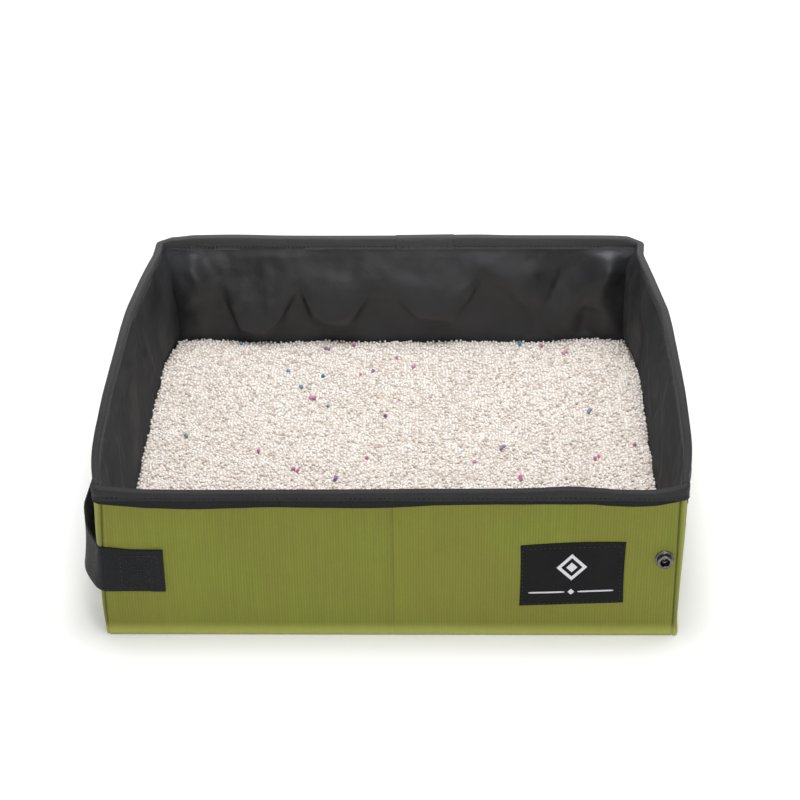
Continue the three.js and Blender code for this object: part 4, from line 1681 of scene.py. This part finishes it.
class LITTERBOX_OT_litter(bpy.types.Operator):
    """Fills the box with litter: a levelled bed under thousands of grains, a few of them coloured"""

    bl_idname = "litterbox.litter"
    bl_label = "Litter"

    def execute(self, context):
        self.bed()
        for column in range(3):
            for row in range(2):
                self.grains(context, column, row)
        self.tinted()
        return {"FINISHED"}

    def flatten(self, piece):
        """Litter is poured out before the box is folded: each piece goes on the base, with a mesh of its
        own.
        """
        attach(piece, "base")
        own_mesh(piece)

    def bed(self):
        def top(across, up):
            x, y = litter_place(across, up)
            return Vector((x, y, litter_top(x, y) - 0.0006))

        bm = cloth_grid(150, 140, top, (2 * half_width, 2 * half_depth))
        sides = bmesh.ops.extrude_face_region(bm, geom=bm.faces[:], use_keep_orig=True)
        for vertex in (part for part in sides["geom"] if isinstance(part, bmesh.types.BMVert)):
            vertex.co.z = litter_low.z
        bmesh.ops.recalc_face_normals(bm, faces=bm.faces[:])
        piece = finished("litter_bed", bm, "Granules")
        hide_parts("litter_fill")
        self.flatten(piece)

    def grains(self, context, column, row):
        """Grains strewn over one of six patches of the top, so that no piece holds too many faces."""

        def patch(across, up):
            x, y = litter_place((column + across) / 3, (row + up) / 2)
            return Vector((x, y, litter_top(x, y)))

        name = f"litter_grains_{column + 1}_{row + 1}"
        piece = finished(name, cloth_grid(50, 70, patch, (1, 1)), "Granules")
        strew = piece.modifiers.new("Strew", "NODES")
        strew.node_group = scatter_tree(sizes().seed + 10 * (column + 3 * row))
        context.view_layer.update()
        graph = context.evaluated_depsgraph_get()
        strewn = bpy.data.meshes.new_from_object(piece.evaluated_get(graph), depsgraph=graph)
        piece.modifiers.remove(strew)
        piece.data = strewn
        strewn.name = name
        strewn.materials.clear()
        strewn.materials.append(material_of("Granules"))
        self.flatten(piece)

    def tinted(self):
        draw = random.Random(sizes().seed)
        away = 0.004
        for name, places in (("Teal", teal_grains), ("Pink", pink_grains), ("Violet", violet_grains)):
            bm = bmesh.new()
            for x, y in places:
                for spill in range(draw.choice((1, 1, 2))):
                    at_x = x + spill * draw.uniform(-away, away)
                    at_y = y + spill * draw.uniform(-away, away)
                    at = Matrix.Translation(Vector((at_x, at_y, litter_top(at_x, at_y) + 0.0018)))
                    size = sizes().grain_radius * draw.uniform(1.2, 1.5)
                    turn = Matrix.Rotation(draw.uniform(0, math.pi), 4, "Z")
                    shape = Matrix.Diagonal((size, size * 0.85, size, 1))
                    bmesh.ops.create_icosphere(bm, subdivisions=2, radius=1, matrix=at @ turn @ shape)
            self.flatten(finished(f"litter_{name.lower()}_grains", bm, f"{name} granules"))


class LITTERBOX_OT_boards(bpy.types.Operator):
    """Gives the hidden stiffener boards their finish"""

    bl_idname = "litterbox.boards"
    bl_label = "Boards"

    def execute(self, context):
        for name, node in frame["nodes"].items():
            if "board" in name:
                node.material_slots[0].material = material_of("Stiff board")
        return {"FINISHED"}


class LITTERBOX_OT_stage(bpy.types.Operator):
    """Sets a plain pale floor, even light and two large soft lamps"""

    bl_idname = "litterbox.stage"
    bl_label = "Stage"

    def execute(self, context):
        stage = context.scene.litter_box_stage
        self.floor(stage.floor)
        self.sky(context.scene, stage.sky)
        self.lamp(context.scene, "Top lamp", (0.05, 0.05, 1.8), 1.1, stage.top_lamp)
        self.lamp(context.scene, "Front lamp", (0.25, -2.0, 0.85), 1.2, stage.front_lamp)
        context.scene.view_settings.view_transform = "Standard"
        return {"FINISHED"}

    def floor(self, colour):
        """A floor that glows a little where it is looked at, more so away from the box."""
        bm = bmesh.new()
        bmesh.ops.create_grid(bm, x_segments=1, y_segments=1, size=6.0)
        made = Finish("Floor")
        tone = made.noise(made.place, 1.5, 2.0)
        made.colour(made.mixed(tone, scaled(colour, 0.99), scaled(colour, 1.01)))
        made.shader["Roughness"].default_value = 0.9
        made.shader["Specular IOR Level"].default_value = 0.0
        seen = made.add("ShaderNodeLightPath").outputs
        direct = made.sum_of("MAXIMUM", seen["Is Camera Ray"], seen["Is Glossy Ray"])
        shown = made.sum_of("MAXIMUM", direct, seen["Is Transmission Ray"])
        away = made.add("ShaderNodeVectorMath", {0: made.place}, operation="LENGTH").outputs["Value"]
        # Painted shade: the glow is weaker near the box, so the floor round the box is darker than the floor
        # further off.
        glow = made.mapped(away, 0.30, 0.85, 0.18, 0.36, "SMOOTHSTEP")
        made.feed(made.shader["Emission Strength"], made.sum_of("MULTIPLY", shown, glow))
        made.shader["Emission Color"].default_value = (1, 1, 1, 1)
        finished("stage_floor", bm, "Floor")

    def sky(self, scene, strength):
        """Even light all round, and plain white where the camera sees it."""
        scene.world = bpy.data.worlds.new("Studio")
        scene.world.use_nodes = True
        nodes = Nodes(scene.world.node_tree)
        background = nodes.tree.nodes["Background"].inputs
        seen = nodes.add("ShaderNodeLightPath").outputs["Is Camera Ray"]
        nodes.feed(background["Strength"], nodes.mapped(seen, 0.0, 1.0, strength, 1.0))
        background["Color"].default_value = (1, 1, 1, 1)

    def lamp(self, scene, name, place, size, power):
        """A large soft lamp that looks at the middle of the floor."""
        data = bpy.data.lights.new(name, "AREA")
        data.size = size
        data.energy = power
        lamp = bpy.data.objects.new(name, data)
        lamp.location = place
        lamp.rotation_euler = (-Vector(place)).to_track_quat("-Z", "Y").to_euler()
        scene.collection.objects.link(lamp)


class LITTERBOX_PT_panel(bpy.types.Panel):
    bl_label = "Litter box"
    bl_idname = "LITTERBOX_PT_panel"
    bl_space_type = "VIEW_3D"
    bl_region_type = "UI"
    bl_category = "Litter box"

    def draw(self, context):
        for operator in build_order:
            self.layout.operator(operator.bl_idname)
        for group in property_groups:
            settings = getattr(context.scene, group)
            for name in settings.bl_rna.properties.keys():
                if name not in ("name", "rna_type"):
                    self.layout.prop(settings, name)


build_order = (
    LITTERBOX_OT_camera,
    LITTERBOX_OT_base,
    LITTERBOX_OT_wall_covers,
    LITTERBOX_OT_end_covers,
    LITTERBOX_OT_linings,
    LITTERBOX_OT_rim,
    LITTERBOX_OT_handle,
    LITTERBOX_OT_snap,
    LITTERBOX_OT_label,
    LITTERBOX_OT_litter,
    LITTERBOX_OT_boards,
    LITTERBOX_OT_stage,
)
property_groups = {
    "litter_box_sizes": LitterBoxSizes,
    "litter_box_colours": LitterBoxColours,
    "litter_box_stage": LitterBoxStage,
}


def register():
    for name, group in property_groups.items():
        bpy.utils.register_class(group)
        setattr(bpy.types.Scene, name, PointerProperty(type=group))
    for operator in build_order:
        bpy.utils.register_class(operator)
    bpy.utils.register_class(LITTERBOX_PT_panel)


def unregister():
    bpy.utils.unregister_class(LITTERBOX_PT_panel)
    for operator in reversed(build_order):
        bpy.utils.unregister_class(operator)
    for name, group in property_groups.items():
        delattr(bpy.types.Scene, name)
        bpy.utils.unregister_class(group)


def main():
    register()
    for operator in build_order:
        family, name = operator.bl_idname.split(".")
        getattr(getattr(bpy.ops, family), name)()


if __name__ == "__main__":
    main()
